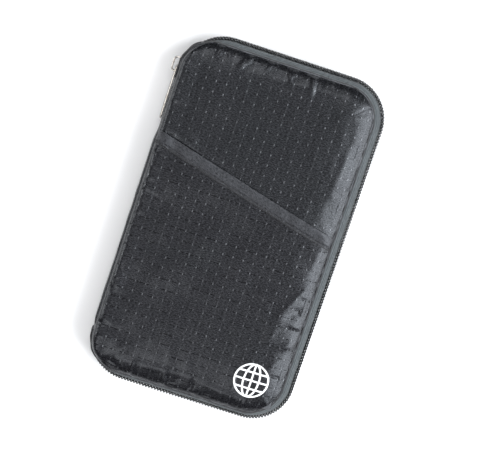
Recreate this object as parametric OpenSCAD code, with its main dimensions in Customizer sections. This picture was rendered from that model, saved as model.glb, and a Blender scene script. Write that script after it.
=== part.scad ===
/* [Overall] */
// Length of the closed wallet along its spine
wallet_l = 229; // [200:1:250]
// Width of the closed wallet, from the spine to the far side of the zip
wallet_w = 134; // [126:1:150]
// Thickness of the closed wallet
wallet_t = 22; // [22:0.5:28]
// Radius of the four corners of the outline
corner_r = 27; // [24:0.5:28]

/* [Covers] */
// Thickness of the outer fabric of a cover
panel_t = 0.9; // [0.6:0.1:1]
// Thickness of the foam that pads a cover
foam_t = 2; // [1:0.1:2.1]
// Thickness of the radio-blocking foil behind the foam
shield_t = 0.2; // [0.1:0.05:0.3]
// Thickness of the lining
lining_t = 0.5; // [0.3:0.1:0.6]
// Distance from the outer edge of the zip to the seam of a cover
seam_inset = 6.2; // [5.8:0.1:7.5]
// Distance from the outer face of the spine to the edge of a cover
spine_inset = 1.8; // [1.8:0.1:2.2]
// Corner radius of a cover
panel_r = 21; // [16:1:22]
// Width of the binding cord along the seam of a cover
binding_w = 1; // [0.6:0.1:1.2]

/* [Spine] */
// Thickness of the outer fabric of the spine
spine_t = 0.8; // [0.5:0.1:0.8]
// Where the spine fabric stops at the top, measured from mid length
spine_top = 76; // [60:1:78]
// Where the spine fabric stops at the bottom, measured from mid length
spine_bottom = 84; // [60:1:84]

/* [Zip] */
// How far the ends of the zip lie inside the outer face of the spine
zip_inset = 2.2; // [0:0.1:2.6]
// Thickness of the coil, measured outward
coil_d = 2.3; // [1.8:0.1:2.4]
// Width of each half of the coil
coil_h = 2.3; // [1.8:0.1:2.4]
// Gap between the two halves of the coil, in which the slider post runs
coil_gap = 1.3; // [1.2:0.1:1.6]
// Thickness of the tape
tape_t = 0.6; // [0.3:0.1:0.6]

/* [Slider and pull] */
// Place of the slider along the spine, measured from mid length
slider_y = 88; // [86:0.1:89]
// Length of the slider
slider_l = 10.5; // [9:0.1:10.5]
// Half of the width of the slider
slider_hw = 4.4; // [4.2:0.1:4.6]
// Radius of the wire of the bail
bail_wire_r = 0.6; // [0.4:0.05:0.7]
// Clear height under the bail
bail_h = 2.9; // [2.6:0.1:3.4]
// Length of the pull tab from its pivot to its end
pull_l = 35.5; // [26:0.5:40]
// Thickness of the pull tab
pull_t = 1; // [0.8:0.1:1]

/* [Slip pocket on the front] */
// Thickness of the fabric of the slip pocket
pocket_t = 0.5; // [0.3:0.1:0.6]
// Thickness of the folded hem of the pocket
hem_t = 0.3; // [0.2:0.1:0.5]
// Width of the hem
hem_w = 7.8; // [5:0.1:12]
// Height of the mouth of the pocket at mid width, measured from mid length
mouth_y = 29.7; // [0:0.1:60]
// Angle at which the mouth slopes down towards the zip
mouth_angle = 14.5; // [0:0.5:20]
// Radius of the badge
badge_r = 11; // [6:0.5:12]
// Place of the badge across the wallet, measured from mid width
badge_x = 38.5; // [0:0.5:45]
// Place of the badge along the wallet, measured from mid length
badge_y = -87.5; // [-92:0.5:-20]

/* [Inside] */
// Thickness of the fabric of the inner pockets
inner_t = 0.5; // [0.3:0.1:0.5]
// Height of the mouth of the passport pocket, measured from mid length
passport_top = 22; // [10:1:30]
// Radius of the thumb notch in the passport pocket
thumb_r = 9; // [6:1:12]
// Width of the card slots
card_w = 92; // [90:1:100]
// Height of the tallest card slot
card_l = 94; // [90:1:100]
// How much lower the mouth of each card slot is than the one behind it
slot_step = 14; // [10:1:16]
// Inner radius of the pen loop
pen_r = 4.6; // [3.5:0.1:4.6]
// Place of the inner zip, measured from mid length
coin_y = 40; // [36:1:48]
// Length of the tab on the inner zip
coin_pull_l = 16; // [10:1:16]

/* [Hidden] */
$fn = 64;

clear = 0.3;                        // running gap between pieces that move past each other
touch = 0.05;                       // gap between layers of one cover

// slider at the end of the zip: gap to the coil, plate thicknesses and the inner plate's place
plate_gap = 0.5;
plate_t = 0.9;
inner_plate_x = coil_d + 1;
slider_nose = 1.2;                  // cut-off corners at the end that leads when the zip closes
slider_tail = 1.6;                  // cut-off corners at the other end
slider_post = [3, 0.7];             // length and thickness of the post between the plates
slider_lip = [5, 0.8, 1.9];         // length, thickness and depth of the lips beside the coil
inner_plate_cut = 3;                // how much shorter the inner plate is
bail_out = plate_gap + plate_t + bail_h + 2*bail_wire_r;
bail_reach = 4;                     // half of the distance between the legs of the bail
bail_bend = 2;                      // bend radius of the bail at its centre line

// pull tab
pull_hw = 3.4;                      // half width at its round end
pull_neck_hw = 3;                   // half width below its eye
pull_eye = 5.6;                     // length of its two arms
pull_arm_w = 1.4;
pull_axle_r = 0.55;

// the outline: spine face, far side, end, and the centres of the corners
xs = -(wallet_w - bail_out + zip_inset)/2;
xe = xs + wallet_w;
xz = xs + zip_inset;                // outer face of the coil where it ends on the spine
xm = (xs + xe)/2;
ye = wallet_l/2;
yc = ye - corner_r;

// heights
panel_top = wallet_t - pocket_t - hem_t;
zip_mid = panel_top/2;
rim_h = panel_t + foam_t + shield_t + 2*touch;
shell_h = rim_h + lining_t;         // thickness of a cover up to the face of its lining
coil_lo = zip_mid - coil_gap/2 - coil_h;
tape_knee = coil_lo - 2.1;          // where the tape leaves the coil and leans inward
tape_bend = 0.3;                    // rise of the outer side of that knee
lining_inset = seam_inset - 0.6;
foil_inset = 0.4;                   // how far the foil stays inside the outer fabric
binding_gap = 0.2;                  // from the binding to the lining
spine_lap = 2.4;                    // where the lining starts beside the spine

// ends of the zip on the spine, as angles on the left corners
end_arc = 8;
cover_arc = 10;
stop_l = 2;
stop_w = 5.2;

// inner pockets, as heights above the outer face of a cover
pocket_inset = 11;                  // from the far side and the ends of the wallet to the large pockets
pocket_z = shell_h + touch;
sleeve_h = 2*inner_t - 0.1;
sleeve_x = xs + 20;
sleeve_hem = 2;                     // width of the closed rim of the sleeve
passport_x = xs + 12;
card_y = -ye + 15;
card_gap = 0.02;
sim_hw = 24;
sim_lo = 50;
sim_hi = 92;

// coin pocket and its zip
coin_z = pocket_z + sleeve_h + touch;
coin_depth = 1.7;
coin_top = coin_z + coin_depth;
coin_wall = 1;
coin_lo = -ye + 16;
coin_hi = ye - 18;
coin_coil_h = 1.2;
coin_coil_w = 1.5;
coin_tape_t = 0.4;
coin_tape_w = 3.2;
coin_gap = 1.2;                     // gap between the halves of the inner coil
coin_slot = 8;                      // width of the opening for the inner zip
coin_x0 = xs + 22;
coin_x1 = xe - 13;
coin_slider_x = xe - 30;
coin_plate = [9, 7.2, 0.8];         // outer plate of the inner slider
coin_plate_z = coin_top - inner_t + coin_tape_t + coin_coil_h + clear;
coin_foot = [8, 6, 0.5];            // its inner plate
coin_post = [3, 0.6];               // length and thickness of the post between its plates
coin_leg = [2.8, 2];                // reach and height of the legs of its bail
coin_bar_h = 0.8;
coin_bail_r = 0.45;
coin_pivot_z = coin_plate_z + coin_plate[2] + 0.5;
coin_tab = [5, 4.4, 0.8];           // length of the arms of its tab, and width and thickness of the tab
coin_arm_w = 1.2;

// pen loop
pen_wall = 0.6;
pen_x = xs + 11;
pen_l = 22;
pen_foot = [8, 0.5];                // width and thickness of the strip sewn to the lining

// ---- shared shapes ----

module rounded_rect(x_lo, x_hi, y_lo, y_hi, r) {
    translate([x_lo + r, y_lo]) square([x_hi - x_lo - 2*r, y_hi - y_lo]);
    translate([x_lo, y_lo + r]) square([x_hi - x_lo, y_hi - y_lo - 2*r]);
    for (x = [x_lo + r, x_hi - r], y = [y_lo + r, y_hi - r])
        translate([x, y]) circle(r);
}

// outline of a cover, grown by g
module cover_outline(g = 0)
    rounded_rect(xs + spine_inset - g, xe - seam_inset + g, -ye + seam_inset - g,
                 ye - seam_inset + g, panel_r + g);

module slab(z, t)
    translate([0, 0, z]) linear_extrude(t) children();

// turns a piece of the back cover over to the front cover
module on_front()
    translate([0, 0, panel_top]) mirror([0, 0, 1]) children();

// a straight stretch of a profile whose x runs outward along +X
module run(len)
    rotate([90, 0, 0]) linear_extrude(len, center = true) children();

// a profile carried round the three zipped sides, its x measured from the corner centres
module zip_ring() {
    translate([xe - corner_r, 0, 0]) run(2*yc) children();
    for (s = [-1, 1])
        translate([(xz + xe)/2, s*yc, 0]) rotate([0, 0, s*90]) run(xe - xz - 2*corner_r) children();
    translate([xe - corner_r, yc, 0]) rotate_extrude(angle = 90) children();
    translate([xe - corner_r, -yc, 0]) rotate([0, 0, -90]) rotate_extrude(angle = 90) children();
    translate([xz + corner_r, yc, 0]) rotate([0, 0, 90])
        rotate_extrude(angle = 90 - cover_arc) children();
    translate([xz + corner_r, -yc, 0]) rotate([0, 0, 180 + cover_arc])
        rotate_extrude(angle = 90 - cover_arc) children();
}

// a profile carried along both ends of the zip on the spine, straight and then round
module zip_ends(top_y, bottom_y) {
    for (stretch = [[top_y, yc - touch], [touch - yc, -bottom_y]])
        translate([xz + corner_r, (stretch[0] + stretch[1])/2, 0]) rotate([0, 0, 180])
            run(stretch[1] - stretch[0]) children();
    for (s = [-1, 1])
        translate([xz + corner_r, s*yc, 0]) rotate([0, 0, 180 - (s > 0 ? end_arc : 0)])
            rotate_extrude(angle = end_arc) children();
}

module coil_profile()
    translate([corner_r - coil_d, coil_lo]) square([coil_d, coil_h]);

module tape_profile() {
    edge = coil_d - tape_t;
    polygon([for (p = [[edge, coil_lo], [coil_d, coil_lo], [coil_d, tape_knee + tape_bend],
                       [lining_inset, shell_h], [lining_inset, rim_h], [edge, tape_knee]])
             [corner_r - p[0], p[1]]]);
}

// both halves of the zip, one for each cover
module both_halves() {
    children();
    on_front() children();
}

// ---- layers of a cover, outer face down ----

module shell_panel() difference() {
    slab(0, rim_h) cover_outline();
    slab(panel_t, rim_h) cover_outline(-panel_t);
}

module shell_foam()
    slab(panel_t, foam_t) cover_outline(-panel_t - touch);

module shell_shield()
    slab(panel_t + foam_t + touch, shield_t) cover_outline(-panel_t - foil_inset);

module shell_lining() slab(rim_h, lining_t) {
    rounded_rect(xz + lining_inset, xe - lining_inset, -ye + lining_inset, ye - lining_inset,
                 corner_r - lining_inset);
    translate([xs + spine_lap, -spine_bottom]) square([zip_inset + lining_inset, spine_bottom + spine_top]);
}

// binding cord along the seam, left out beside the spine
module shell_binding() slab(rim_h - binding_w - binding_gap, binding_w) difference() {
    cover_outline(binding_w);
    cover_outline();
    translate([xs - 1, -ye]) square([10, wallet_l]);
}

// ---- back cover ----

module back_outer_panel() color("#2c2c30") shell_panel();
module back_foam() color("#c8c8c0") shell_foam();
module back_shield() color("#b8bcc0") shell_shield();
module back_lining() color("#55585e") shell_lining();
module back_binding() color("#1c1c1e") shell_binding();
module back_zip_tape() color("#4a4a4e") zip_ring() tape_profile();
module back_zip_coil() color("#202022") zip_ring() coil_profile();

// flat sleeve behind the coin pocket, open along its far side
module document_sleeve() color("#484b52") difference() {
    slab(pocket_z, sleeve_h)
        rounded_rect(sleeve_x, xe - pocket_inset, -ye + pocket_inset, ye - pocket_inset, 6);
    translate([sleeve_x + sleeve_hem, -ye + pocket_inset + sleeve_hem, pocket_z - 1])
        cube([wallet_w, wallet_l - 2*(pocket_inset + sleeve_hem), 1 + sleeve_h - inner_t + 0.1]);
}

// half of the coin pocket between two heights, with walls on three sides
module coin_tray(y_lo, y_hi, open_up) difference() {
    slab(coin_z, coin_depth) translate([coin_x0, y_lo]) square([coin_x1 - coin_x0, y_hi - y_lo]);
    translate([coin_x0 + coin_wall, y_lo + (open_up ? coin_wall : -coin_wall), coin_z - 1])
        cube([coin_x1 - coin_x0 - 2*coin_wall, y_hi - y_lo, 1 + coin_depth - inner_t]);
}

module coin_pocket_lower() color("#3c3f46") coin_tray(coin_lo, coin_y - coin_slot/2, true);
module coin_pocket_upper() color("#3c3f46") coin_tray(coin_y + coin_slot/2, coin_hi, false);

module coin_zip_tape() color("#2c2e33")
    for (s = [-1, 1])
        translate([coin_x0 + coin_wall, coin_y + s*(coin_slot - coin_tape_w)/2 - coin_tape_w/2,
                   coin_top - inner_t])
            cube([coin_x1 - coin_x0 - 2*coin_wall, coin_tape_w, coin_tape_t]);

module coin_zip_coil() color("#1c1c1e")
    for (s = [-1, 1])
        translate([coin_x0 + coin_wall, coin_y + s*(coin_gap + coin_coil_w)/2 - coin_coil_w/2,
                   coin_top - inner_t + coin_tape_t])
            cube([coin_x1 - coin_x0 - 2*coin_wall, coin_coil_w, coin_coil_h]);

module pen_loop() color("#26272a") difference() {
    union() {
        translate([pen_x, -pen_l/2, shell_h + touch + pen_r + pen_wall]) rotate([-90, 0, 0])
            cylinder(pen_l, pen_r + pen_wall, pen_r + pen_wall);
        translate([pen_x - pen_foot[0]/2, -pen_l/2, shell_h]) cube([pen_foot[0], pen_l, pen_foot[1]]);
    }
    translate([pen_x, -pen_l, shell_h + touch + pen_r + pen_wall]) rotate([-90, 0, 0])
        cylinder(2*pen_l, pen_r, pen_r);
}

// ---- inner slider ----

module coin_slider_body() color("#a8aaae") translate([coin_slider_x, coin_y, 0]) {
    plate_top = coin_plate_z + coin_plate[2];
    translate([-coin_plate[0]/2, -coin_plate[1]/2, coin_plate_z]) cube(coin_plate);
    translate([-coin_foot[0]/2, -coin_foot[1]/2, coin_z + clear]) cube(coin_foot);
    translate([-coin_foot[0]/2, -coin_post[1]/2, coin_z + clear])
        cube([coin_post[0], coin_post[1], coin_plate_z - coin_z]);
    for (s = [-1, 1])
        translate([s*coin_leg[0], 0, plate_top - 0.1]) cylinder(coin_leg[1], coin_bail_r, coin_bail_r);
    translate([-coin_leg[0] - coin_bail_r, -coin_bail_r, plate_top + coin_leg[1] - 0.5])
        cube([2*(coin_leg[0] + coin_bail_r), 2*coin_bail_r, coin_bar_h]);
}

module coin_pull_tab() color("#2a2b2e") translate([coin_slider_x, coin_y, coin_pivot_z]) {
    arm = coin_tab[0];
    w = coin_tab[1];
    t = coin_tab[2];
    rotate([90, 0, 0]) cylinder(w, t/2, t/2, center = true);
    for (s = [-1, 1])
        translate([0, s*(w - coin_arm_w)/2 - coin_arm_w/2, -t/2]) cube([arm, coin_arm_w, t]);
    translate([arm - 0.6, -w/2, -t/2]) cube([coin_pull_l - w/2 - arm + 0.6, w, t]);
    translate([coin_pull_l - w/2, 0, 0]) cylinder(t, w/2, w/2, center = true);
}

// ---- spine ----

module spine_plate(x, t) translate([xs + x, -spine_bottom, clear])
    cube([t, spine_bottom + spine_top, wallet_t - 2*clear]);

module spine_panel() color("#303034") spine_plate(0, spine_t);
module spine_lining() color("#55585e") spine_plate(spine_t + touch, 0.6);

module zip_end_tape() color("#4a4a4e") both_halves()
    zip_ends(spine_top + touch, spine_bottom + touch)
        translate([corner_r - coil_d, shell_h + clear])
            square([tape_t, coil_lo - shell_h - clear]);

module zip_end_coil() color("#202022") both_halves()
    zip_ends(spine_top + stop_l + 1, spine_bottom + stop_l + 0.4) coil_profile();

// metal stops clamped on both ends of the coil
module zip_stops() color("#a8aaae")
    for (y = [spine_top + 0.6, -spine_bottom - stop_l - 0.3])
        translate([xz - 0.1, y, zip_mid - stop_w/2]) cube([coil_d, stop_l, stop_w]);

// ---- slider and pull ----

// puts shapes drawn along the zip (x) and across it (y) against the coil, growing inward
module on_zip(x) translate([xz + x, slider_y, zip_mid]) rotate([90, 0, 90]) children();

module slider_outline(len) {
    half = len/2;
    polygon([[-half, -slider_hw + slider_nose], [-half + slider_nose, -slider_hw], [0, -slider_hw],
             [half - slider_tail/2, -slider_hw + slider_tail/2], [half, -slider_hw + slider_tail],
             [half, slider_hw - slider_tail], [half - slider_tail/2, slider_hw - slider_tail/2],
             [0, slider_hw], [-half + slider_nose, slider_hw], [-half, slider_hw - slider_nose]]);
}

module slider_body() color("#b4b6ba") {
    on_zip(-plate_gap - plate_t) linear_extrude(plate_t) slider_outline(slider_l);
    on_zip(inner_plate_x) linear_extrude(plate_t) slider_outline(slider_l - inner_plate_cut);
    on_zip(-plate_gap - plate_t/2) linear_extrude(inner_plate_x + plate_gap + plate_t)
        translate([-slider_l/2 + 2, -slider_post[1]/2]) square(slider_post);
    for (s = [-1, 1])
        on_zip(-plate_gap - plate_t/2) linear_extrude(slider_lip[2])
            translate([-slider_l/2 + 1.4, s*(slider_hw - slider_lip[1]/2) - slider_lip[1]/2])
                square([slider_lip[0], slider_lip[1]]);
}

// round wire bent over the slider: two legs, two bends and a bar
module slider_bail() color("#c0c2c6") translate([xz - plate_gap - plate_t, slider_y, zip_mid]) {
    leg = bail_h + bail_wire_r - bail_bend;
    for (s = [-1, 1]) {
        translate([-leg, s*bail_reach, 0]) rotate([0, 90, 0]) cylinder(leg, bail_wire_r, bail_wire_r);
        translate([-leg, s*(bail_reach - bail_bend), 0]) rotate([0, 0, s > 0 ? 90 : 180])
            rotate_extrude(angle = 90) translate([bail_bend, 0]) circle(bail_wire_r);
    }
    translate([-leg - bail_bend, 0, 0]) rotate([90, 0, 0])
        cylinder(2*(bail_reach - bail_bend), bail_wire_r, bail_wire_r, center = true);
}

// flat tab that hangs along the spine from a bar inside the bail
module pull_tab() color("#9a9ca0")
    translate([xz - plate_gap - plate_t - bail_h/2, slider_y, zip_mid]) {
        cylinder(2*pull_neck_hw, pull_axle_r, pull_axle_r, center = true);
        for (s = [-1, 1])
            translate([-pull_t/2, -pull_eye, s*(pull_neck_hw - pull_arm_w/2) - pull_arm_w/2])
                cube([pull_t, pull_eye, pull_arm_w]);
        translate([-pull_t/2, 0, 0]) rotate([90, 0, 90]) linear_extrude(pull_t) {
            polygon([[-pull_eye, -pull_neck_hw], [-pull_eye, pull_neck_hw],
                     [-pull_l + pull_hw, pull_hw], [-pull_l + pull_hw, -pull_hw]]);
            translate([-pull_l + pull_hw, 0]) circle(pull_hw);
        }
    }

// ---- front cover ----

module front_outer_panel() color("#303034") on_front() shell_panel();
module front_foam() color("#c8c8c0") on_front() shell_foam();
module front_shield() color("#b8bcc0") on_front() shell_shield();
module front_lining() color("#55585e") on_front() shell_lining();
module front_binding() color("#1c1c1e") on_front() shell_binding();
module front_zip_tape() color("#4a4a4e") on_front() zip_ring() tape_profile();
module front_zip_coil() color("#202022") on_front() zip_ring() coil_profile();

// cuts the front's outline to a band below the sloping mouth
module below_mouth(z, t, depth)
    slab(z, t) intersection() {
        cover_outline(-0.6);
        translate([xm, mouth_y]) rotate(-mouth_angle) translate([-wallet_w, -depth])
            square([2*wallet_w, depth]);
    }

module slip_pocket_panel() color("#333338") below_mouth(panel_top, pocket_t, wallet_l);
module slip_pocket_hem() color("#3a3a3f") below_mouth(panel_top + pocket_t, hem_t, hem_w);

module badge() color("white")
    translate([xm + badge_x, badge_y, panel_top + pocket_t]) cylinder(hem_t, badge_r, badge_r);

// wide pocket with a thumb notch in its mouth
module passport_pocket() color("#484b52") on_front() slab(pocket_z, inner_t) difference() {
    rounded_rect(passport_x, xe - pocket_inset, -ye + pocket_inset, passport_top, 5);
    translate([xm, passport_top]) circle(thumb_r);
}

module card_slot(k, tint) color(tint) on_front()
    slab(pocket_z + inner_t + touch + (k - 1)*(inner_t + card_gap), inner_t)
        translate([xm - card_w/2, card_y]) square([card_w, card_l - (k - 1)*slot_step]);

module card_slot_1() card_slot(1, "#3c3f46");
module card_slot_2() card_slot(2, "#42454c");
module card_slot_3() card_slot(3, "#3c3f46");

module sim_pocket() color("#42454c") on_front() slab(pocket_z, inner_t)
    rounded_rect(xm - sim_hw, xm + sim_hw, sim_lo, sim_hi, 3);

back_outer_panel();
back_foam();
back_shield();
back_lining();
back_binding();
back_zip_tape();
back_zip_coil();
document_sleeve();
coin_pocket_lower();
coin_pocket_upper();
coin_zip_tape();
coin_zip_coil();
pen_loop();
coin_slider_body();
coin_pull_tab();
spine_panel();
spine_lining();
zip_end_tape();
zip_end_coil();
zip_stops();
slider_body();
slider_bail();
pull_tab();
front_outer_panel();
front_foam();
front_shield();
front_lining();
front_binding();
front_zip_tape();
front_zip_coil();
slip_pocket_panel();
slip_pocket_hem();
badge();
passport_pocket();
card_slot_1();
card_slot_2();
card_slot_3();
sim_pocket();
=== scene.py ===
import math
import bpy
import bmesh
import numpy as np
from mathutils import Matrix, Vector


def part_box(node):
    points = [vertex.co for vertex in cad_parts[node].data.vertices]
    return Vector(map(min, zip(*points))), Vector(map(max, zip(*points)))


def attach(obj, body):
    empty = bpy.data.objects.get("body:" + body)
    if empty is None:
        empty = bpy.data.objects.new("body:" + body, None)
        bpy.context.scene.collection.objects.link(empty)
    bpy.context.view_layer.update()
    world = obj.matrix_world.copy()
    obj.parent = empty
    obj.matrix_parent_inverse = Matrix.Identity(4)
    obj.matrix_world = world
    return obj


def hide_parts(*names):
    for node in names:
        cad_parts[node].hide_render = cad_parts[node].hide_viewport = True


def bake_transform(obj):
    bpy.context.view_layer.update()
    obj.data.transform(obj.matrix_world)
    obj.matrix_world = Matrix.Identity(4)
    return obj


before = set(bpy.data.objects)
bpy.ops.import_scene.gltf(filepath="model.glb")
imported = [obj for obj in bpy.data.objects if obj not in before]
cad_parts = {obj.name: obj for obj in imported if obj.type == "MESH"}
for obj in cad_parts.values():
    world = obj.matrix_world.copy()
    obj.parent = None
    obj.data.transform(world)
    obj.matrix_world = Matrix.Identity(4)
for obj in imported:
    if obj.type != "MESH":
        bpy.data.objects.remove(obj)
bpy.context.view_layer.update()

# every shape below is worked out in millimetres and written in metres
mm = 0.001


def nodeBox(name):
    low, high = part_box(name)
    return np.array(low) / mm, np.array(high) / mm


spineX = nodeBox("spine_panel")[0][0]              # outer face of the spine
zipX = nodeBox("front_zip_coil")[1][0]             # far side of the zip
zipEndX = nodeBox("slider_bail")[1][0] + 1.4       # outer face of the coil beside the spine
endY = nodeBox("front_zip_coil")[1][1]             # top end of the zip
panelTop = nodeBox("front_outer_panel")[1][2]
walletTop = nodeBox("slip_pocket_hem")[1][2]
zipMid = panelTop / 2                              # height at which both halves of the zip meet
midX = (spineX + zipX) / 2
spineLow, spineHigh = nodeBox("spine_panel")[0][1], nodeBox("spine_panel")[1][1]
cornerRadius = 27.0


# ---- shapes ----

def buildMesh(name, grids, material, flip=False, closed=False):
    # each grid holds points (copies, rows, columns, 3); neighbouring rows and columns make quads
    verts, faces, uvs, caps, start = [], [], [], [], 0
    for g in grids:
        pts = np.asarray(g["points"], float)
        pts = pts.reshape((-1,) + pts.shape[-3:])
        copies, rows, cols = pts.shape[:3]
        idx = start + np.arange(copies * rows * cols).reshape(copies, rows, cols)
        a = idx if g.get("wrapRows") else idx[:, :-1]
        b = np.roll(idx, -1, 1) if g.get("wrapRows") else idx[:, 1:]
        if g.get("wrapCols"):
            quads = np.stack([a, np.roll(a, -1, 2), np.roll(b, -1, 2), b], -1)
        else:
            quads = np.stack([a[:, :, :-1], a[:, :, 1:], b[:, :, 1:], b[:, :, :-1]], -1)
        faces.append(quads.reshape(-1, 4))
        if g.get("cap"):
            caps += [list(row[::-1]) for row in idx[:, 0]] + [list(row) for row in idx[:, -1]]
        verts.append(pts.reshape(-1, 3))
        uv = g.get("uv")
        uvs.append(np.zeros((copies * rows * cols, 2)) if uv is None else np.asarray(uv).reshape(-1, 2))
        start += copies * rows * cols
    verts, uvs, faces = np.concatenate(verts), np.concatenate(uvs), np.concatenate(faces).tolist()
    faces += [[int(i) for i in c] for c in caps]
    if flip:
        faces = [f[::-1] for f in faces]
    mesh = bpy.data.meshes.new(name)
    mesh.from_pydata((verts * mm).tolist(), [], faces)
    layer = mesh.uv_layers.new(name="cloth")
    loopVerts = np.empty(len(mesh.loops), int)
    mesh.loops.foreach_get("vertex_index", loopVerts)
    layer.data.foreach_set("uv", (uvs[loopVerts] * mm).ravel())
    if closed:
        bm = bmesh.new()
        bm.from_mesh(mesh)
        bmesh.ops.recalc_face_normals(bm, faces=bm.faces)
        bm.to_mesh(mesh)
        bm.free()
    mesh.polygons.foreach_set("use_smooth", np.ones(len(mesh.polygons), bool))
    mesh.materials.append(material)
    obj = bpy.data.objects.new(name, mesh)
    bpy.context.collection.objects.link(obj)
    return obj


def solidify(obj, thickness, offset=-1.0):
    mod = obj.modifiers.new("cloth thickness", "SOLIDIFY")
    mod.thickness = thickness * mm
    mod.offset = offset
    return obj


def outlinePath(left, right, low, high, radius, counts, ends=None):
    # clockwise from the left side over the top: straight runs and quarter circles, with outward normals;
    # ends are the heights where the path starts and stops on the left side, or None for a full ring
    startY, stopY = ends if ends else (0.0, 0.0)
    centres = [(left + radius, high - radius, 180), (right - radius, high - radius, 90),
               (right - radius, low + radius, 0), (left + radius, low + radius, -90)]
    corners = [(left, startY), (left, high - radius), (left + radius, high), (right - radius, high),
               (right, high - radius), (right, low + radius), (right - radius, low),
               (left + radius, low), (left, low + radius), (left, stopY)]
    sides = [(-1, 0), (0, 1), (1, 0), (0, -1), (-1, 0)]
    pts, normals = [], []
    for k in range(5):
        p, q = np.array(corners[2 * k]), np.array(corners[2 * k + 1])
        t = np.linspace(0, 1, counts[2 * k], endpoint=False)[:, None]
        pts.append(p + (q - p) * t)
        normals.append(np.tile(sides[k], (len(t), 1)))
        if k < 4:
            cx, cy, begin = centres[k]
            angle = np.radians(begin - 90 * np.linspace(0, 1, counts[2 * k + 1], endpoint=False))
            out = np.stack([np.cos(angle), np.sin(angle)], 1)
            pts.append(np.array([cx, cy]) + radius * out)
            normals.append(out)
    if ends:
        pts.append(np.array([corners[-1]]))
        normals.append(np.array([sides[-1]]))
    return np.concatenate(pts), np.concatenate(normals).astype(float)


def lengthAlong(path):
    return np.concatenate([[0], np.cumsum(np.linalg.norm(np.diff(path, axis=0), axis=1))])


def resample(path, values, spacing):
    # the path and what goes with it, at even steps of arc length
    s = lengthAlong(path)
    t = np.linspace(0, s[-1], max(2, int(round(s[-1] / spacing)) + 1))
    return [np.stack([np.interp(t, s, v[:, k]) for k in range(v.shape[1])], 1) for v in (path, values)] + [t]


def unit(v):
    return v / np.linalg.norm(v, axis=-1, keepdims=True)


def sweep(path, across, up, profile, wrapRows=False, taper=1.0):
    # a closed profile (across, up) carried along the path, scaled by taper
    across, up = np.broadcast_to(across, path.shape), np.broadcast_to(up, path.shape)
    sized = profile[None] * np.broadcast_to(taper, len(path))[:, None, None]
    pts = path[:, None] + across[:, None] * sized[..., :1] + up[:, None] * sized[..., 1:]
    around = lengthAlong(np.vstack([profile, profile[:1]]))[:-1]
    uv = np.stack(np.broadcast_arrays(lengthAlong(path)[:, None], around[None]), -1)
    return {"points": pts, "uv": uv, "wrapCols": True, "wrapRows": wrapRows, "cap": not wrapRows}


def roundProfile(width, height, power=2.0, sides=12):
    # superellipse: power 2 is an ellipse, higher powers square it up
    a = np.linspace(0, 2 * np.pi, sides, endpoint=False)
    c, s = np.cos(a), np.sin(a)
    return np.stack([width / 2 * np.sign(c) * abs(c) ** (2 / power),
                     height / 2 * np.sign(s) * abs(s) ** (2 / power)], 1)


def ripple(x, y, wavelength, seed, waves=14):
    # smooth random field of about unit size: a sum of seeded plane waves
    rng = np.random.default_rng(seed)
    angle = rng.uniform(0, 2 * np.pi, waves)
    k = 2 * np.pi / (wavelength * rng.uniform(0.7, 1.5, waves))
    phase = rng.uniform(0, 2 * np.pi, waves)
    total = sum(np.cos(k[i] * (x * np.cos(angle[i]) + y * np.sin(angle[i])) + phase[i])
                for i in range(waves))
    return total * math.sqrt(2 / waves)


def smoothStep(t):
    t = np.clip(t, 0, 1)
    return t * t * (3 - 2 * t)


def stitchRow(path, up, spacing, length, radius, lift=0.5):
    # capsules bent down at both ends, one after another along the path
    path, up, _ = resample(path, np.broadcast_to(up, path.shape), spacing)
    along = unit(np.gradient(path, axis=0))
    up = unit(up)
    side = unit(np.cross(along, up))
    t = np.linspace(-1, 1, 7)
    angle = np.linspace(0, 2 * np.pi, 6, endpoint=False)
    swell = radius * np.sqrt(np.clip(1 - (t * 0.97) ** 6, 0, 1))
    centre = path[:, None] + along[:, None] * (t * length / 2)[None, :, None] \
        + up[:, None] * (radius * lift * (1 - 1.6 * t ** 4))[None, :, None]
    ring = np.cos(angle)[None, None, :, None] * side[:, None, None] \
        + np.sin(angle)[None, None, :, None] * up[:, None, None]
    pts = centre[:, :, None] + ring * swell[None, :, None, None]
    return {"points": pts, "wrapCols": True, "cap": True}


# ---- materials ----

def startMaterial(name):
    mat = bpy.data.materials.new(name)
    mat.use_nodes = True
    tree = mat.node_tree
    tree.nodes.clear()
    return mat, tree.nodes, tree.links


def arrange(groups, nodes):
    # one labelled frame for each effect, its nodes in columns
    for row, (title, members) in enumerate(groups):
        box = nodes.new("NodeFrame")
        box.label = title
        for col, node in enumerate(members):
            node.parent = box
            node.location = (col * 210 - 1400, 500 - row * 320)


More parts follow.
